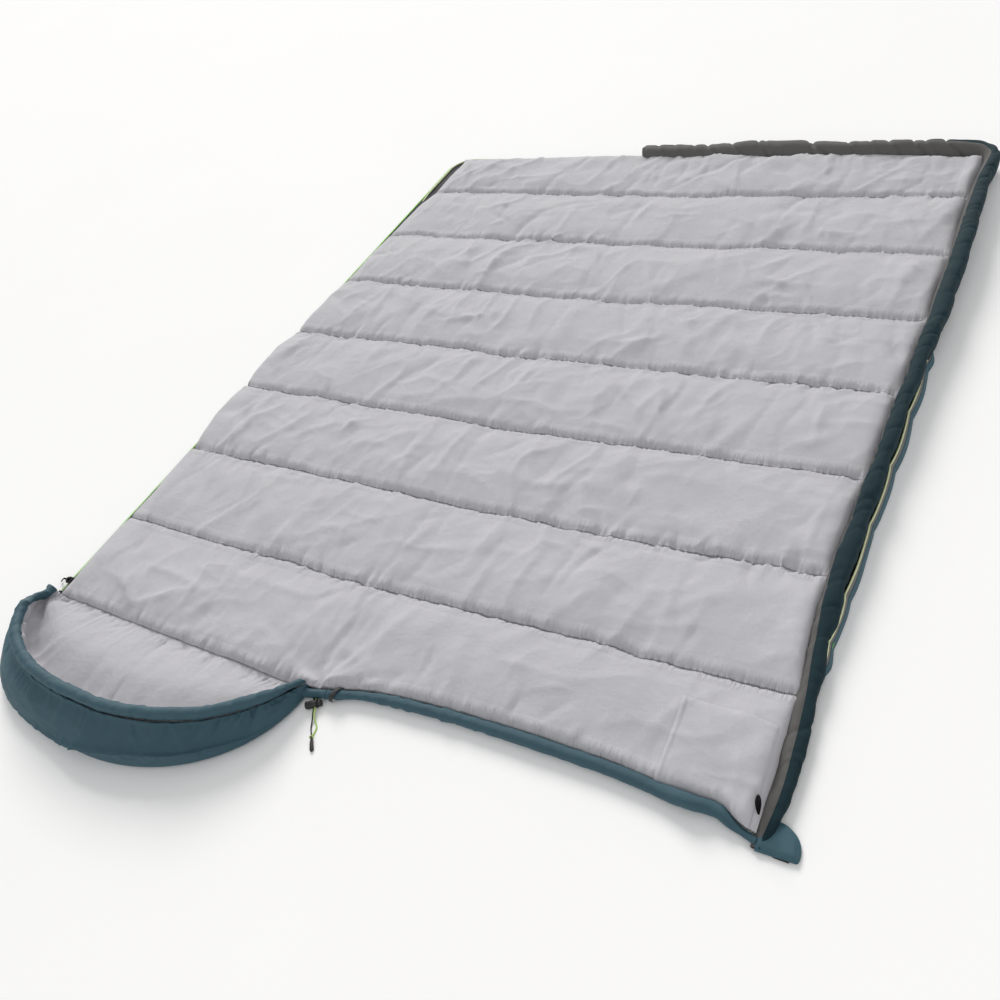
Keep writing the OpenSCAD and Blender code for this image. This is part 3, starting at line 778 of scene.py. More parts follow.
def make_lining():
    x, y, row_y, share, seams = quilt_plan()
    height = quilt_height(x, y, row_y, share, seams)
    grid = np.dstack([x, y, height])
    near = np.minimum(share, 1 - share) * PITCH
    slack = 0.010 + 0.055 * np.exp(-(near / 0.022) ** 2)
    slack[seams] = 0
    start = grid.copy()
    start[..., 2] += 0.0012 * noise(x * 34, y * 12, 61)
    grid = settle_cloth(start, height, seams, slack)
    left = x - x[:, :1]
    swell = through([0, 0.09, 0.16, 0.24, 0.36, 0.5, 0.62, 0.9, 1.08, 1.25, 1.5, 2.0],
                    [0, 0.0, 0.4, 0.5, 0.15, 0.5, 1.0, 0.9, 0.6, 0.10, 0, 0],
                    np.clip(y[:, :1], 0, 2))
    grid[..., 0] -= SIDE_SWELL * swell * np.sin(math.pi * np.clip(left / 0.055, 0, 1))
    cloth = np.dstack([x + HALF_WIDTH, row_y[:, None] + 0 * x, 0 * x])
    return grid, cloth, share


def make_shell(lining, cloth, share):
    """The outer sheet under the padding: the same border, flat where it lies on the ground, and
    drawn up at the rows of stitches."""
    x, y, flat = np.maximum(lining[..., 0], lining[:, :1, 0]), lining[..., 1], cloth[..., 0]
    puff = np.sin(math.pi * share) ** 0.5
    drawn = 0.0008 + 0.0075 * (1 - puff[:, None]) ** 1.2 * (1 + 0.3 * noise(x * 40, y * 8, 71))
    wave = 0.0006 * (1 + noise(x * 18, y * 14, 72))
    border = np.minimum(np.minimum(flat - flat[:, :1], flat[:, -1:] - flat),
                        np.minimum(y - y[:1], y[-1:] - y))
    inside = rounded(border, 0.022)
    z = lining[..., 2] * (1 - inside) + (drawn + wave) * inside
    return np.dstack([x, y, np.minimum(z, lining[..., 2])])


lining_grid, lining_cloth, channel_share = make_lining()
quilt_lining = grid_piece("quilt_lining", lining_grid, lining_fabric, lining_cloth)
shell_grid = make_shell(lining_grid, lining_cloth, channel_share)
quilt_shell = grid_piece("quilt_outer_shell", shell_grid, shell_fabric, lining_cloth, flip=True)


def across_fold(piece, slot, *nodes, fill=0.5):
    """Cloth that crosses the fold between the two halves."""
    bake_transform(piece)
    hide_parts(*nodes)


across_fold(quilt_lining, "lining_fabric", "base_lining", "cover_lining")
across_fold(quilt_shell, "shell_fabric", "base_shell", "cover_shell", "base_filling",
            "cover_filling")


# ---- hood ----

HOOD_START = 0.048
HOOD_HALF = (HALF_WIDTH + COIL - HOOD_START) / 2
HOOD_CENTRE = -HOOD_START - HOOD_HALF
HOOD_LENGTH = 0.295
HOOD_WALL = 0.0825
HOOD_LEAN = 0.092
HOOD_LEFT = 0.4445
HOOD_SQUARE = 2.65
HOOD_FLOOR = 0.030
RIM_RADIUS = 0.0115
HOOD_COLUMNS = 420


def wall_share(a):
    """How much of the full wall stands at the angle a: 0 by the fold, pi by the zip."""
    s = np.sin(np.clip(a, 0, math.pi))
    return np.where(a > math.pi / 2, np.minimum(1, 0.12 + 2.3 * s),
                    np.minimum(1, 0.04 + 0.96 * s ** 0.8))


def rim_height(a):
    return SEAM + (HOOD_WALL - SEAM) * wall_share(a)


def hood_root(a):
    return np.stack([HOOD_CENTRE + 0.8 * HOOD_HALF * np.cos(a), 0 * a], -1)


def hood_edge(a):
    """The hood's outline: half an ellipse by the fold, squarer and wider by the zip."""
    c, s = np.cos(a), np.sin(np.clip(a, 0, math.pi))
    by_zip = a > math.pi / 2
    power = np.where(by_zip, 2 / HOOD_SQUARE, 1.0)
    half = np.where(by_zip, HOOD_LEFT * (1 - 0.07 * np.exp(-(s / 0.12) ** 2)), HOOD_HALF)
    x = HOOD_CENTRE + half * np.sign(c) * np.abs(c) ** power
    return np.stack([x, -HOOD_LENGTH * s ** power], -1)


def hood_reach(a):
    return np.linalg.norm(hood_edge(a) - hood_root(a), axis=-1)


def hood_point(a, distance, z):
    plan = hood_root(a) + distance[:, None] * unit(hood_edge(a) - hood_root(a))
    return np.column_stack([plan, z + 0 * a])


def seam_point(a, z):
    """The hood's root on the shoulder seam, spread over the whole width of the base half."""
    x = HOOD_CENTRE + 0.985 * HOOD_HALF * np.cos(a)
    return np.column_stack([x, head_edge(x) - 0.0005, z + 0 * a])


def hood_angles():
    """Angles spaced evenly along the hood's edge."""
    fine = np.linspace(0, math.pi, 4000)
    length = distances(hood_edge(fine))
    s = np.linspace(0, length[-1], HOOD_COLUMNS)
    return np.interp(s, length, fine), s


def gathers(s, t, seed, count, length, width, rise, span, start=0.0, slant=0.03):
    """Creases that start at t = start and fade over length; s is metres along, t metres across."""
    random = np.random.RandomState(seed)
    total = np.zeros(np.broadcast(s, t).shape)
    for _ in range(count):
        place = random.uniform(*span)
        fade = random.uniform(0.5, 1.0) * length
        line = place + random.normal(0, slant) * (t - start) / length
        size = random.uniform(0.6, 1.4) * width * (1 + np.abs(t - start) / fade)
        taper = np.clip(1 - np.abs(t - start) / fade, 0, 1) ** 1.3
        total += random.uniform(-1.0, 0.8) * rise * taper / (1 + ((s - line) / size) ** 2) ** 1.5
    return total


def seam_height_at(x):
    """Height of the quilt's first row, to which the hood is sewn."""
    return np.interp(x, lining_grid[0, :, 0], lining_grid[0, :, 2])


def make_hood_bowl(a, s):
    """The pale lining from the shoulder seam over the padded floor and up to the rim."""
    n, w, h = hood_reach(a), wall_share(a), rim_height(a)
    f = SEAM + (HOOD_FLOOR - SEAM) * w
    root = seam_point(a, 0)
    root[:, 2] = seam_height_at(root[:, 0])
    base = hood_point(a, n - 0.70 * HOOD_LEAN * w - 0.018, f)
    middle = 0.5 * (root + base)
    middle[:, 2] = f + 0.009 * w
    wall_low = hood_point(a, n - 0.66 * HOOD_LEAN * w - 0.012, f + (h - f) * 0.35)
    wall_high = hood_point(a, n - 0.80 * HOOD_LEAN * w - 0.010, f + (h - f) * 0.72)
    top = hood_point(a, n - 0.86 * HOOD_LEAN * w - 0.010, h + 0.004 * w)
    rows = np.linspace(0, 1, 64)
    grid = through([0, 0.32, 0.62, 0.76, 0.88, 1.0],
                   [root, middle, base, wall_low, wall_high, top], rows)
    across = rows[:, None] * (n * w + 0.02)[None, :]
    along = np.broadcast_to(s[None, :], across.shape)
    span = (0.0, s[-1])
    lift = gathers(along, across, 81, 170, 0.050, 0.0042, 0.0062, span)
    lift += gathers(along, across, 82, 46, 0.20, 0.011, 0.0105, span, start=0.24, slant=0.05)
    lift += (0.0022 * noise(along * 14, across * 10, 83)
             + 0.0012 * noise(along * 34, across * 24, 84))
    fade = np.minimum(rows / 0.05, (1 - rows) / 0.05)
    lift = lift * np.clip(fade, 0, 1)[:, None] * np.minimum(1, 0.3 + w)
    grid = grid + normals(grid) * lift[..., None]
    return np.maximum(grid, [-9, -9, 0.004])


def make_hood_wall(a, s):
    """The teal outside: a puffy panel below the rim, a gathered seam near the ground, the lower
    panel, and the sheet under the hood back to the shoulder seam."""
    n, w, h = hood_reach(a), wall_share(a), rim_height(a)
    root = seam_point(a, 0.0012)
    knots = [0, 0.14, 0.28, 0.42, 0.54, 0.60, 0.8, 1.0]
    points = [hood_point(a, n - 0.74 * HOOD_LEAN * w - 0.001, h - 0.002),
              hood_point(a, n - 0.34 * HOOD_LEAN * w, 0.80 * h),
              hood_point(a, n - 0.006 * w, 0.55 * h),
              hood_point(a, n, 0.30 * h),
              hood_point(a, n - 0.003 - 0.005 * w, 0.0035 + 0 * a),
              hood_point(a, n - 0.008 - 0.022 * w, 0.0012 + 0 * a)]
    points.append(0.5 * (points[-1] + root))
    points.append(root)
    rows = np.concatenate([np.linspace(0, 0.60, 90), np.linspace(0.62, 1.0, 14)])
    grid = through(knots, points, rows)
    t = rows[:, None]
    along = np.broadcast_to(s[None, :], grid.shape[:2])
    total = s[-1]
    share = along / total
    dip = 0.15 * ease(0.58, 0.30, share) * ease(0.03, 0.2, share)
    seam = 0.415 + 0.022 * np.sin(along * 9) - dip
    upper = np.clip(t / seam, 0, 1)
    lower = np.clip((t - seam) / (0.60 - seam), 0, 1)
    puff = 0.0085 * np.sin(math.pi * upper) ** 0.6 * w + 0.0062 * np.sin(math.pi * lower) ** 0.7 * w
    groove = -0.0068 * np.exp(-((t - seam) / 0.013) ** 2) - 0.005 * np.exp(-(t / 0.016) ** 2)
    metres = t * (h + 0.09)
    seam_metres = seam * (h + 0.09)
    lift = puff + groove * np.minimum(1, 0.2 + w)
    lift += gathers(along, metres, 91, 110, 0.036, 0.0055, 0.0026, (0, total), start=seam_metres)
    lift += gathers(along, metres, 92, 90, 0.060, 0.0060, 0.0046, (0, total))
    lift += gathers(along, metres, 93, 60, 0.050, 0.0045, 0.0060, (0, 0.20))
    lift += gathers(along, metres, 94, 40, 0.050, 0.0045, 0.0050, (total - 0.12, total))
    lift += 0.0026 * noise(along * 7, t * 6, 95) + 0.0010 * noise(along * 22, t * 18, 96)
    fade = np.clip(rows / 0.02, 0, 1)[:, None] * (1 - ease(0.34, 0.50, t))
    outward = -normals(grid)
    grid = grid + outward * (lift * fade * np.minimum(1, 0.25 + w))[..., None]
    grid[..., 2] = np.maximum(grid[..., 2], 0.0008)
    return grid


def rim_centre(a):
    inset = 0.86 * HOOD_LEAN * wall_share(a)
    return hood_point(a, hood_reach(a) - inset - 0.003, rim_height(a) + 0.0105)


def make_rim_channel(a, s):
    """The gathered channel on top of the hood wall that holds its drawcord."""
    centre = rim_centre(a)
    out = np.column_stack([unit(hood_edge(a) - hood_root(a)), 0 * a])
    up = np.array([0.0, 0.0, 1.0])
    total = s[-1]
    ends = (1 - ease(0.02, 0.16, s)) + ease(total - 0.13, total - 0.01, s)
    angle = turns(22)
    knob = 1 + (0.05 + 0.20 * ends) * noise(s * 42, 0.2, 101) + 0.05 * noise(s * 15, 0.6, 102)
    thin = 1 - 0.45 * (1 - ease(0, 0.14, s))
    radius = RIM_RADIUS * knob * thin
    ripple = 1 + (0.10 + 0.08 * ends)[:, None] * noise(s[:, None] * 85, angle[None, :] * 1.1, 103)
    wander = 0.0035 * noise(s * 9, 0.9, 104)
    centre = centre + wander[:, None] * up + (0.002 * noise(s * 12, 0.4, 105))[:, None] * out
    return (centre[:, None]
            + (radius[:, None] * ripple * 1.10 * np.cos(angle))[..., None] * out[:, None]
            + (radius[:, None] * ripple * 0.98 * np.sin(angle))[..., None] * up)


hood_a, hood_s = hood_angles()
bowl = make_hood_bowl(hood_a, hood_s)
wall = make_hood_wall(hood_a, hood_s)
hood_bowl = grid_piece("hood_lining_bowl", bowl, hood_lining_fabric, flat_cloth(bowl))
hood_wall = grid_piece("hood_outer_wall", wall, shell_fabric, flat_cloth(wall), flip=True)
hood_channel = closed_sweep("hood_rim_cloth", make_rim_channel(hood_a, hood_s), shell_fabric,
                            flip=True)
for piece, slot, nodes in ((hood_bowl, "lining_fabric", ["hood_lining"]),
                           (hood_wall, "shell_fabric", ["hood_shell", "hood_filling"])):
    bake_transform(piece)
    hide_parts(*nodes)
finish_piece(hood_channel, "hood", "shell_fabric", "hood_rim_channel")
hood_cord_rings = tube_rings(rim_centre(hood_a[::3]), CORD_DIAMETER / 2, 8)
finish_piece(closed_sweep("hood_inner_cord", hood_cord_rings, dark_cord), "hood", "dark_cord",
             "hood_drawcord")


# ---- draft tube ----

TUBE_HEIGHT = 0.050
TUBE_REACH = -0.012
TUBE_CORNER = 0.030
TUBE_START = 0.009
TUBE_TIP = -0.139
TUBE_TUCK = 0.004
FOOT_SHIFT = 0.013


def make_kinks():
    """Where the sewn edge outside the tube kinks, as distances from the shoulder seam."""
    random = np.random.RandomState(17)
    return np.cumsum(random.uniform(0.10, 0.19, 40))


KINKS = make_kinks()


def between_kinks(y):
    """0 at a kink, 1 half way to the next one."""
    y = np.asarray(y, float)
    i = np.clip(np.searchsorted(KINKS, y), 1, len(KINKS) - 1)
    share = np.clip((y - KINKS[i - 1]) / (KINKS[i] - KINKS[i - 1]), 0, 1)
    return np.sin(math.pi * share) ** 0.8


def tube_section(s, side_length):
    """The tube's width, height, shift, outward lean and the angle of its top seam."""
    y = TUBE_START + s
    foot_x = HALF_WIDTH + TUBE_REACH - TUBE_CORNER - (s - side_length - TUBE_CORNER * math.pi / 2)
    on_foot = ease(side_length - 0.05, side_length + 0.06, s)
    height = through([0, 0.05, 0.12, 0.22, 0.34, 0.46, 0.6, 4.0],
                     [0.010, 0.019, 0.024, 0.027, 0.034, 0.045, 0.050, 0.050], s)
    foot_drop = 0.0055 * ease(0.05, 0.20, foot_x) - 0.004 * noise(s * 7, 0.7, 113)
    height = height * (1 + 0.05 * noise(s * 5, 0.3, 111)) - foot_drop * on_foot
    width = through([0, 0.04, 0.30, 0.42, 0.80, 1.08, 1.25, 1.7, 1.92, 2.1, 4.0],
                    [0.020, 0.029, 0.031, 0.034, 0.031, 0.030, 0.038, 0.039, 0.034, 0.039,
                     0.039], s)
    side_shift = right_edge(y) - TUBE_TUCK + width / 2 - (HALF_WIDTH + TUBE_REACH)
    shift = side_shift * (1 - on_foot) + FOOT_SHIFT * on_foot
    lean = 0.004 + 0.006 * ease(0.3, 0.5, s) + 0.006 * on_foot
    seam = through([0, 0.22, 0.36, 0.50, 0.66, 1.35, 1.65, 1.93, 2.1, 3.2],
                   [88, 92, 104, 138, 150, 150, 132, 116, 88, 84], np.clip(s, 0, 3.2))
    seam = seam + (4 + 12 * on_foot) * noise(s * 9, 0.4, 112)
    return width, height, shift, lean, np.radians(seam), on_foot, y, foot_x


def make_tube_side(inner):
    """The facing on the lining's side, or the shell on the zip's side, of the padded tube."""
    flat, out, s = edge_path(TUBE_REACH, TUBE_CORNER, TUBE_START, TUBE_TIP, 0.0036)
    side_length = BAG_LENGTH + TUBE_REACH - TUBE_CORNER - TUBE_START
    width, height, shift, lean, seam, on_foot, y, foot_x = tube_section(s, side_length)
    steps = np.linspace(0, 1, 22)[None, :]
    low, high = (seam, math.radians(270)) if inner else (math.radians(-90), seam)
    low, high = (np.broadcast_to(end, s.shape)[:, None] for end in (low, high))
    angle = low * (1 - steps) + high * steps
    c, v = np.cos(angle), np.sin(angle)
    power = 0.76
    across = width[:, None] / 2 * np.sign(c) * np.abs(c) ** power
    z = height[:, None] / 2 * (1 + np.sign(v) * np.abs(v) ** power)
    squeeze = np.zeros_like(z)
    random = np.random.RandomState(115)
    places = [k - TUBE_START for k in KINKS if k < side_length]
    places += [place + random.uniform(-0.02, 0.02)
               for place in np.arange(0.06, side_length, 0.075)]
    places += [place + random.uniform(-0.025, 0.025)
               for place in np.arange(side_length, s[-1], 0.062)]
    for place in places:
        on = float(ease(side_length - 0.15, side_length, place))
        depth = random.uniform(0.0010, 0.0030) * (0.9 + 1.3 * on)
        line = place + random.normal(0.016, 0.012) * np.sin(angle) + 0.014 * c
        squeeze += depth / (1 + ((s[:, None] - line) / random.uniform(0.0035, 0.008)) ** 2) ** 1.5
    ripple = (0.0012 * noise(s[:, None] * 60, angle * 1.3, 116)
              + 0.0022 * noise(s[:, None] * 16, angle * 0.9, 117))
    draw = np.clip(squeeze - ripple, -0.004, 0.009) * ease(0.0, 0.008, z)
    across = across - draw * c
    z = z - draw * np.maximum(v, 0)
    z = z - 0.0014 * np.exp(-((angle - seam[:, None]) / 0.10) ** 2)
    across = across + (lean[:, None] * (np.maximum(z, 0) / TUBE_HEIGHT) ** 1.2 + shift[:, None]
                       + 0.0050 * (between_kinks(y) * (1 - on_foot))[:, None] * np.maximum(c, 0))
    tip = ease(TUBE_TIP, TUBE_TIP + 0.006, foot_x)[:, None]
    across = across * (0.4 + 0.6 * tip) + FOOT_SHIFT * 0.6 * (1 - tip)
    grid = at_height(flat, 0.0)[:, None] + across[..., None] * at_height(out, 0.0)[:, None]
    grid[..., 2] = np.maximum(z, 0.001)
    return grid


inner_grid, outer_grid = make_tube_side(True), make_tube_side(False)
tube_inner = grid_piece("draft_tube_facing", inner_grid, tube_fabric, flat_cloth(inner_grid),
                        flip=True)
tube_outer = grid_piece("draft_tube_shell", outer_grid, shaded_tube_shell_fabric, flat_cloth(outer_grid),
                        flip=True)
across_fold(tube_inner, "inner_tube_fabric", "draft_tube_inner", "draft_tube_filling",
            "draft_tube_end", fill=0.7)
across_fold(tube_outer, "shell_fabric", "draft_tube_outer", fill=0.7)


# ---- zip, piping and the strip outside it ----

COIL_RADIUS = 0.0025
COIL_PITCH = 0.0017
COIL_THREAD = 0.00052
TAPE_END = COIL - 0.0016
BASE_START, COVER_START = 0.008, FLAP_WIDTH + 0.006
STRIP_FROM, STRIP_TO = 0.33, 1.16


def tucked(s):
    """1 where the strip is hidden under the tube, 0 where it shows."""
    y = COVER_START + s
    start = ease(STRIP_FROM - 0.03, STRIP_FROM + 0.03, y)
    return 1 - start * (1 - ease(STRIP_TO, STRIP_TO + 0.10, y))


def coil_wander(s):
    return 0.0012 * noise(s * 6, 0.5, 121) * ease(0.1, 0.3, s)


def make_coil(name, start_y, mirror):
    """The moulded spiral of one side of the zip, wound round the edge."""
    flat, out, s = edge_path(COIL, CORNER + COIL, start_y, ZIP_END, COIL_PITCH / 7)
    turn = 2 * math.pi * s / COIL_PITCH
    across = 0.85 * COIL_RADIUS * np.cos(turn) + coil_wander(s)
    path = at_height(flat + across[:, None] * out, 0.0)
    path[:, 2] = ZIP_HEIGHT + 0.62 * COIL_RADIUS * np.sin(turn)
    tangent = unit(np.gradient(path, axis=0))
    side = unit(np.cross(tangent, at_height(out, 0.35)))
    up = np.cross(side, tangent)
    rings = path[:, None] + COIL_THREAD * np.stack([side, up, -side, -up], 1)
    rings = mirrored(rings) if mirror else rings
    faces = grid_faces(len(path), 4, True, mirror)
    return make_piece(name, rings, faces, coil_nylon, rings)


def strip_grid(profile, start_y):
    """A flat strip round the edge. profile(s, k) gives the outward distance and the height for
    each column k from 0 to 1."""
    flat, out, s = edge_path(0.0, CORNER, start_y, ZIP_END, 0.006)
    k = np.linspace(0, 1, 9)
    across, z = profile(s[:, None], k[None, :])
    grid = at_height(flat, 0)[:, None] + across[..., None] * at_height(out, 0)[:, None]
    grid[..., 2] = z
    return grid


def base_tape_profile(s, k):
    """From under the lining's edge out to the coil."""
    inner = -0.020 - 0.026 * ease(1.45, 1.95, s)
    wave = 0.0012 * noise(s * 18, k * 1.5, 131) * np.sin(math.pi * k)
    return inner + (TAPE_END - inner) * k, ZIP_HEIGHT - 0.0035 * (1 - k) + wave


def cover_tape_profile(s, k):
    wave = 0.0008 * noise(s * 22, k * 1.5, 132) * np.sin(math.pi * k)
    return -0.012 + (TAPE_END + 0.012) * k, ZIP_HEIGHT - 0.002 * (1 - k) + wave


def piping_line(s):
    """The outward distance of the piping from the half's own edge."""
    y = COVER_START + s
    shown = 0.0090 + 0.0035 * ease(0.5, 0.85, y) + 0.0055 * between_kinks(y)
    shown = shown + 0.0010 * noise(s * 16, 0.3, 141)
    return shown + (0.0020 - shown) * tucked(s)


def piping_height(s):
    return 0.0205 - 0.0125 * tucked(s)


def grey_end(s):
    return piping_line(s) + (0.0052 + 0.0020 * noise(s * 13, 0.6, 143)) * (1 - 0.7 * tucked(s))


def grey_strip_profile(s, k):
    start = piping_line(s) + 0.0008
    across = start + (grey_end(s) - start) * k
    return across, piping_height(s) - 0.0015 - 0.0028 * k + 0.0010 * np.sin(math.pi * k)


def teal_strip_profile(s, k):
    start = grey_end(s)
    end = start + (0.0050 + 0.0030 * noise(s * 8, 0.6, 145)) * (1 - 0.7 * tucked(s))
    across = start + (end - start) * k
    drop = k ** 1.6
    z = (piping_height(s) - 0.0037) * (1 - drop) + 0.0012 * drop
    return across, z + 0.0016 * np.sin(math.pi * k)


def make_piping(name, reach, z, start_y, mirror, wave):
    flat, out, s = edge_path(reach, CORNER + reach, start_y, ZIP_END, 0.004)
    path = at_height(flat + wave(s)[:, None] * out, 0)
    path[:, 2] = z(s)
    rings = tube_rings(path, 0.0019, 8)
    rings = mirrored(rings) if mirror else rings
    return closed_sweep(name, rings, piping_cord, flip=not mirror)


def base_piping_line(s):
    """Sideways waves with a few sharper kinks, as a sewn edge has."""
    return 0.0030 * (noise(s * 6.5, 0.3, 147) + 0.45 * np.abs(noise(s * 11, 0.6, 148)))


def base_piping_height(s):
    """Shows on the tape near the foot, and lies under the lining's edge elsewhere."""
    return 0.0055 + 0.0100 * ease(1.62, 1.76, s)


def cover_strip(name, profile, material, slot, node):
    """A flat strip of the cover half as a finished piece."""
    strip = strip_grid(profile, COVER_START)
    piece = grid_piece(name, strip, material, flat_cloth(strip), flip=True)
    finish_piece(piece, "cover_half", slot, node)


finish_piece(make_coil("base_zip_teeth", BASE_START, True), "base_half", "zip_coil",
             "base_zip_coil")
finish_piece(make_coil("cover_zip_teeth", COVER_START, False), "cover_half", "zip_coil",
             "cover_zip_coil")
base_tape = mirrored(strip_grid(base_tape_profile, BASE_START))
finish_piece(grid_piece("base_zip_tape_cloth", base_tape, zip_tape_fabric, flat_cloth(base_tape)),
             "base_half", "zip_tape", "base_zip_tape")
cover_strip("cover_zip_tape_cloth", cover_tape_profile, zip_tape_fabric, "zip_tape",
            "cover_zip_tape")
finish_piece(make_piping("base_piping_cord", 0.0085, base_piping_height, 0.044, True,
                         base_piping_line), "base_half", "piping", "base_piping")
finish_piece(make_piping("cover_piping_cord", 0.0, piping_height, COVER_START, False,
                         piping_line), "cover_half", "piping", "cover_piping")
cover_strip("outer_strip_facing", grey_strip_profile, facing_fabric, "inner_tube_fabric",
            "outer_zip_flap")
cover_strip("outer_strip_cloth", teal_strip_profile, lit_strip_fabric, "shell_fabric",
            "outer_zip_flap")


# ---- collar channel ----

COLLAR_RADIUS = 0.0125
COLLAR_SET, COLLAR_Z = 0.0115, 0.0130   # the channel's middle: from the lining's edge, up
SLEEVE_START = -0.062


def collar_path(first=0.001, last=0.838, count=420):
    """The middle of the drawcord channel along the head of the cover half."""
    x = np.linspace(first, last, count)
    y = head_edge(x) - COLLAR_SET
    hump = np.exp(-((x - 0.722) / 0.030) ** 2)
    end = ease(0.775, 0.81, x)
    return np.column_stack([x, y - 0.003 * hump + 0.004 * end,
                            COLLAR_Z + 0.007 * hump - 0.005 * end])


def make_collar(name, path):
    """A gathered tube of shell cloth round the drawcord; the gathers are tight near the fold."""
    x = path[:, 0]
    tight = 1 - ease(0.10, 0.45, x)
    angle = turns(20)
    girth = 1 + (0.04 + 0.14 * tight) * noise(x * 75, 0.2, 151) + 0.08 * noise(x * 14, 0.4, 152)
    girth = girth * (0.72 + 0.28 * ease(0.0, 0.30, x)) * (1 - 0.48 * ease(0.775, 0.815, x))
    ripple = noise(x[:, None] * 110 + angle[None] * 0.7, angle[None] * 1.2, 153)
    ripple = 1 + (0.04 + 0.08 * tight)[:, None] * ripple
    c, s = np.cos(angle)[None], np.sin(angle)[None]
    radius = COLLAR_RADIUS * girth[:, None] * ripple
    rings = path[:, None] + np.stack([0 * radius, radius * 0.98 * c, radius * s], -1)
    rings[..., 2] = np.maximum(rings[..., 2], 0.001)
    return closed_sweep(name, rings, shell_fabric)


collar = make_collar("collar_channel_cloth", collar_path())
finish_piece(collar, "cover_half", "shell_fabric", "collar_channel")
cord_rings = tube_rings(collar_path(count=160), CORD_DIAMETER / 2, 8)
finish_piece(closed_sweep("collar_inner_cord", cord_rings, dark_cord, flip=True), "cover_half",
             "dark_cord", "collar_drawcord")
exit_sleeve = make_collar("cord_exit_sleeve", collar_path(SLEEVE_START, -0.001, 40))
finish_piece(exit_sleeve, "base_half", "shell_fabric", "cord_guide")


def make_ribbon(name, path, normal, width, thickness, material):
    """A flat strap along a path (n, 3); normal is where its face looks, one or per point."""
    tangent = unit(np.gradient(path, axis=0))
    face = unit(np.broadcast_to(np.asarray(normal, float), path.shape))
    side = unit(np.cross(tangent, face))
    face = np.cross(side, tangent)
    u = np.array([-1, -0.92, -0.3, 0.3, 0.92, 1, 0.92, 0.3, -0.3, -0.92])
    v = np.array([0, 1, 1, 1, 1, 0, -1, -1, -1, -1])
    rings = (path[:, None] + (width / 2 * u)[None, :, None] * side[:, None]
             + (thickness / 2 * v)[None, :, None] * face[:, None])
    return closed_sweep(name, rings, material, flip=True)


def make_collar_strap():
    """A short strip of webbing wrapped over the channel beside the fold."""
    angle = np.linspace(math.radians(205), math.radians(20), 26)
    x = 0.012 + 0.014 * np.linspace(0, 1, 26)
    centre_y = head_edge(x) - COLLAR_SET
    reach = COLLAR_RADIUS * 1.02 + 0.0012
    path = np.column_stack([x, centre_y + reach * np.cos(angle),
                            COLLAR_Z + reach * np.sin(angle)])
    path[:, 2] = np.maximum(path[:, 2], 0.002)
    normal = np.column_stack([0 * x, np.cos(angle), np.sin(angle)])
    return make_ribbon("collar_strap", path, normal, 0.009, 0.0014, webbing)


finish_piece(make_collar_strap(), "cover_half", "black_webbing", "collar_webbing")


# ---- pocket, corner tab and closure flap ----

def lining_patch(x0, x1, y0, y1, columns, rows, lift):
    """A patch that lies on the settled lining, lifted along its normals."""
    face = normals(lining_grid)
    face = face * np.sign(face[..., 2:3])
    x_of = lining_grid[20, :, 0]
    first, last = np.interp([x0, x1], x_of, np.arange(COLUMNS))
    low, high = np.interp([y0, y1], lining_grid[:, int(first), 1], np.arange(len(lining_grid)))
    j, i = np.meshgrid(np.linspace(low, high, rows), np.linspace(first, last, columns),
                       indexing="ij")
    j0, i0 = np.floor(j).astype(int), np.floor(i).astype(int)
    fj, fi = (j - j0)[..., None], (i - i0)[..., None]

    def sample(field):
        near = field[j0, i0] * (1 - fi) + field[j0, i0 + 1] * fi
        far = field[j0 + 1, i0] * (1 - fi) + field[j0 + 1, i0 + 1] * fi
        return near * (1 - fj) + far * fj

    return sample(lining_grid) + lift[..., None] * sample(face)


def make_pocket():
    """The pocket with its hem along the side by the fold."""
    rows, columns = 60, 62
    wide, tall = 0.164, 0.151
    u, v = np.meshgrid(np.linspace(0, 1, columns), np.linspace(0, 1, rows))
    border = np.minimum(np.minimum(u, 1 - u) * wide, np.minimum(v, 1 - v) * tall)
    lift = 0.0012 + 0.0022 * rounded(border, 0.012) + 0.0012 * noise(u * 6, v * 5, 161)
    lift += 0.0010 * np.exp(-((u * wide - 0.006) / 0.0035) ** 2)
    lift -= 0.0012 * np.exp(-((u * wide - 0.0115) / 0.0016) ** 2)
    grid = lining_patch(0.658, 0.822, 0.055, 0.206, columns, rows, lift)
    return grid_piece("pocket_cloth", grid, hood_lining_fabric, flat_cloth(grid))


pocket = finish_piece(make_pocket(), "cover_half", "lining_fabric", "pocket_patch")


def make_corner_tab():
    """A leaf-shaped loop of webbing sewn in beside the tube at the head corner."""
    t = np.linspace(0, 1, 20)
    half = 0.0062 * np.sin(math.pi * (0.06 + 0.90 * t)) ** 0.8
    x = 0.833 - 0.009 * t
    y = 0.050 + 0.030 * t
    z = 0.034 + 0.008 * np.sin(math.pi * t)
    lean = 0.6
    rings = []
    for k in range(len(t)):
        side = np.array([math.cos(lean), 0, math.sin(lean)]) * half[k]
        face = np.array([-math.sin(lean), 0, math.cos(lean)]) * 0.0010
        centre = np.array([x[k], y[k], z[k]])
        rings.append([centre - side, centre - 0.9 * side + face, centre + 0.9 * side + face,
                      centre + side, centre + 0.9 * side - face, centre - 0.9 * side - face])
    return closed_sweep("corner_leaf_tab", np.array(rings), tab_fabric)


finish_piece(make_corner_tab(), "cover_half", "black_webbing", "corner_tab")

FLAP_ROOT, FLAP_X, FLAP_TIP = 0.8385, 0.856, 0.9045   # where it is sewn on, folds and ends
FLAP_LOW, FLAP_TALL = 0.007, 0.055


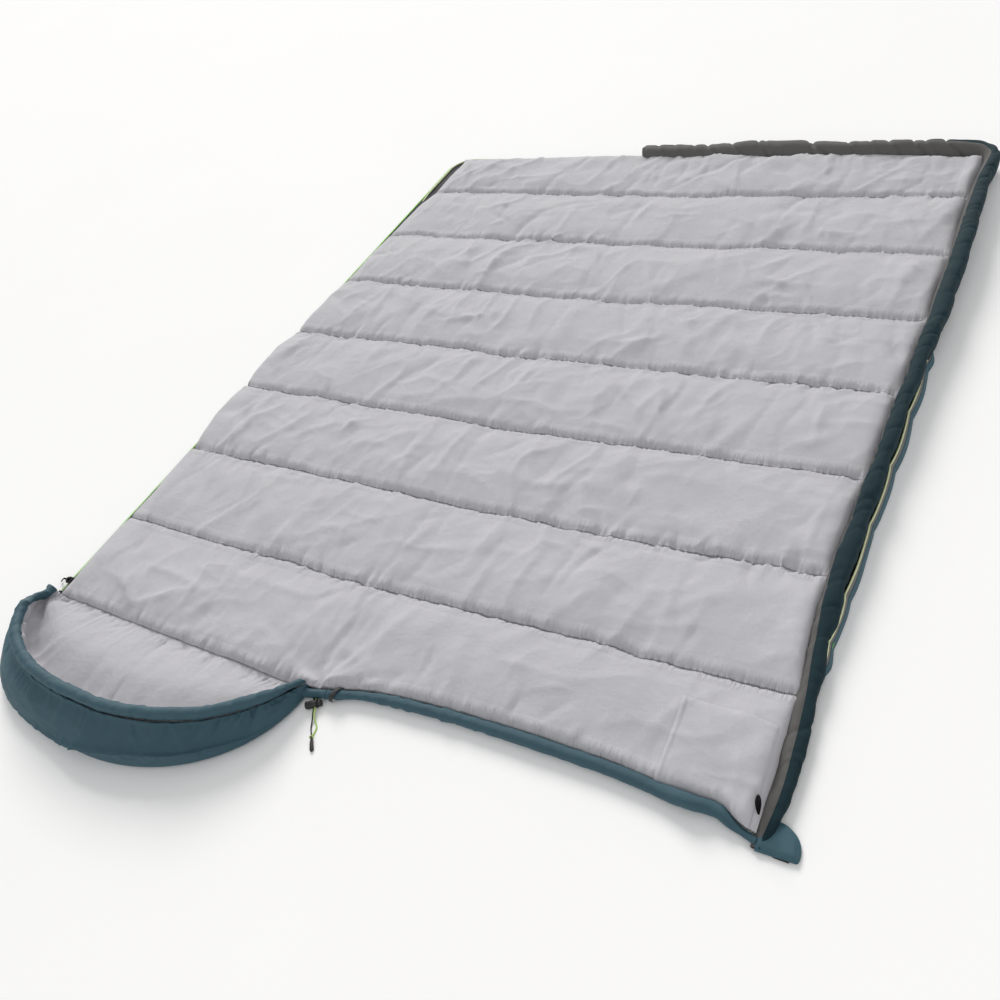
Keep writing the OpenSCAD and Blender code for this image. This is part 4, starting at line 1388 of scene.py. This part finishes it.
def make_flap():
    """The rounded closure flap beyond the head corner, two layers sewn round the edge."""
    rows, columns = 28, 30
    u, v = np.meshgrid(np.linspace(0, 1, columns), np.linspace(0, 1, rows))
    reach = (FLAP_TIP - FLAP_ROOT) * (1 - 0.93 * v ** 2.6) ** 0.38 * (1 - 0.06 * np.exp(-v / 0.06))
    x = FLAP_ROOT + reach * u
    y = FLAP_LOW + FLAP_TALL * v + 0.003 * (u - 0.5) * (1 - v)
    border = np.minimum(np.minimum(1 - u, v) * 0.05, (1 - v) * 0.04)
    puff = 0.0062 * rounded(border, 0.012)
    groove = -0.0012 * np.exp(-((border - 0.0045) / 0.0012) ** 2)
    wave = 0.0012 * noise(u * 3, v * 3, 171) * u
    top = np.dstack([x, y, 0.0042 + puff + groove + wave + 0.002 * (1 - ease(0, 0.3, u))])
    bottom = np.dstack([x, y, 0.0026 + 0 * x])
    count = rows * columns
    faces = np.concatenate([grid_faces(rows, columns),
                            grid_faces(rows, columns, flip=True) + count])
    points = np.concatenate([top.reshape(-1, 3), bottom.reshape(-1, 3)])
    loop = (list(range(columns)) + [columns * r + columns - 1 for r in range(1, rows)]
            + [count - 1 - k for k in range(1, columns)]
            + [columns * r for r in range(rows - 2, 0, -1)])
    rim = [[after, here, here + count, after + count]
           for here, after in zip(loop, loop[1:] + loop[:1])]
    return make_piece("closure_flap_cloth", points, faces.tolist() + rim, lit_strip_fabric, points)


flap = make_flap()
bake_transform(flap)
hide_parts("closure_flap", "closure_root")


# ---- cord guide, pull strap and lock ribs ----

def make_cord_guide():
    """The puckered cloth mouth that both strands leave the rim through."""
    stations = np.linspace(0, 1, 16)
    angle = turns(24)
    size = through([0, 0.2, 0.6, 1], [3.6, 5.4, 6.6, 6.4], stations)
    pleat = 1 + 0.10 * np.cos(angle * 9)[None, :] * (1 - 0.4 * stations[:, None])
    x = size[:, None] * pleat * np.cos(angle)[None]
    z = size[:, None] * pleat * np.sin(angle)[None]
    y = 12.6 + 8.8 * stations[:, None] + 0 * x
    return closed_sweep("cord_exit_mouth", from_lock(np.stack([x, y, z], -1)), shell_fabric)


def make_eyelet():
    """The black ring in the mouth."""
    t, angle = turns(40), turns(8)
    rings = [[((4.2 + 0.8 * math.cos(b)) * math.cos(a), 12.6 + 0.8 * math.sin(b),
               (2.9 + 0.8 * math.cos(b)) * math.sin(a)) for b in angle] for a in t]
    rings = from_lock(np.array(rings))
    faces = grid_faces(len(t) + 1, 8, True) % (len(t) * 8)
    return make_piece("cord_exit_eyelet", rings, faces, black_plastic, rings)


finish_piece(make_cord_guide(), "base_half", "shell_fabric", "cord_guide")
finish_piece(make_eyelet(), "base_half", "black_plastic", "cord_guide")


def make_lock_ribs():
    """Grip ribs round the cord lock's barrel."""
    t = turns(36)
    section = [(-0.55, -0.2), (-0.4, 0.35), (0, 0.5), (0.4, 0.35), (0.55, -0.2)]
    ring = grid_faces(len(t) + 1, len(section)) % (len(t) * len(section))
    places = np.arange(-16.0, -4.5, 2.2).tolist() + [5.0]
    points = [[(place + dx, (7.5 + dr) * math.cos(a), (7.5 + dr) * math.sin(a))
               for a in t for dx, dr in section] for place in places]
    faces = [ring + k * len(t) * len(section) for k in range(len(places))]
    cloud = from_lock(np.array(points).reshape(-1, 3))
    return make_piece("cord_lock_ribs", cloud, np.concatenate(faces), black_plastic, cloud)


finish_piece(make_lock_ribs(), "cord_lock", "black_plastic")


def make_pull_strap():
    """A folded webbing loop on the zip pull."""
    low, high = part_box("zip_pull_strap")
    pull_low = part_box("zip_pull")[0]
    end = np.array([low[0] - 0.010, (low[1] + high[1]) / 2, low[2] + 0.001]) - ORIGIN
    start = np.array([pull_low[0] + 0.002, (low[1] + high[1]) / 2, high[2] + 0.0006]) - ORIGIN
    t = np.linspace(0, 1, 24)[:, None]
    path = start * (1 - t) + end * t
    path[:, 2] += 0.0040 * np.sin(math.pi * t[:, 0])
    path[:, 1] -= 0.0040 * t[:, 0] ** 2
    tangent = unit(end - start)
    normal = np.cross(tangent, [0, 1, 0])
    normal = normal * np.sign(normal[2])
    return make_ribbon("zip_pull_loop", path, normal, 0.0042, 0.0022, tab_fabric)


finish_piece(make_pull_strap(), "pull", "black_webbing", "zip_pull_strap")


# ---- the CAD's own hardware ----

def dress(node, material, bevel):
    """Gives a CAD node its material and rounds its edges a little."""
    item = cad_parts[node]
    for slot in item.material_slots:
        slot.material = material
    if not item.material_slots:
        item.data.materials.append(material)
    if bevel:
        modifier = item.modifiers.new("edge", "BEVEL")
        modifier.width = bevel
        modifier.segments = 2
        modifier.limit_method = "ANGLE"


for node, material, bevel in (
        ("zip_slider", slider_metal, 0.0003), ("zip_pull", slider_metal, 0.0002),
        ("zip_top_stop", black_plastic, 0.0003), ("zip_retainer_box", black_plastic, 0.0003),
        ("zip_insertion_pin", black_plastic, 0.0003), ("closure_loop", webbing, 0.0002),
        ("closure_hook", webbing, 0.0002), ("cord_lock_body", black_plastic, 0.0004),
        ("cord_lock_plunger", grip_plastic, 0.0004), ("cord_lock_spring", spring_steel, 0)):
    dress(node, material, bevel)


# ---- light and floor ----

def make_sun(name, place, strength, spread, colour=(1, 1, 1)):
    """A distant soft light that shines from place towards the origin."""
    data = bpy.data.lights.new(name, "SUN")
    data.energy = strength
    data.angle = math.radians(spread)
    data.color = colour
    light = bpy.data.objects.new(name, data)
    light.matrix_world = (-Vector(place)).to_track_quat("-Z", "Y").to_matrix().to_4x4()
    bpy.context.collection.objects.link(light)


def make_floor():
    mesh = bpy.data.meshes.new("floor")
    mesh.from_pydata([(-30, -30, 0), (30, -30, 0), (30, 30, 0), (-30, 30, 0)], [], [(0, 1, 2, 3)])
    graph = Graph("floor_paint")
    tone = graph.noise(graph.add("TexCoord").outputs["Object"], 1.5)
    paint = graph.ramp(tone, (0.3, (0.985, 0.985, 0.985)), (0.7, (0.995, 0.995, 0.995)))
    mesh.materials.append(graph.finish(Base_Color=paint, Roughness=0.9))
    floor = bpy.data.objects.new("floor", mesh)
    bpy.context.collection.objects.link(floor)


def make_world():
    world = bpy.data.worlds.new("studio")
    world.use_nodes = True
    background = world.node_tree.nodes["Background"]
    background.inputs["Color"].default_value = (1, 1, 1, 1)
    background.inputs["Strength"].default_value = 0.55
    bpy.context.scene.world = world


make_world()
make_floor()
make_sun("key", (-2.2, 3.0, 2.0), 2.3, 22, (1.0, 0.985, 0.96))
make_sun("fill", (1.2, -3.2, 2.4), 0.35, 60, (0.96, 0.98, 1.0))
bpy.context.scene.view_settings.view_transform = "Standard"
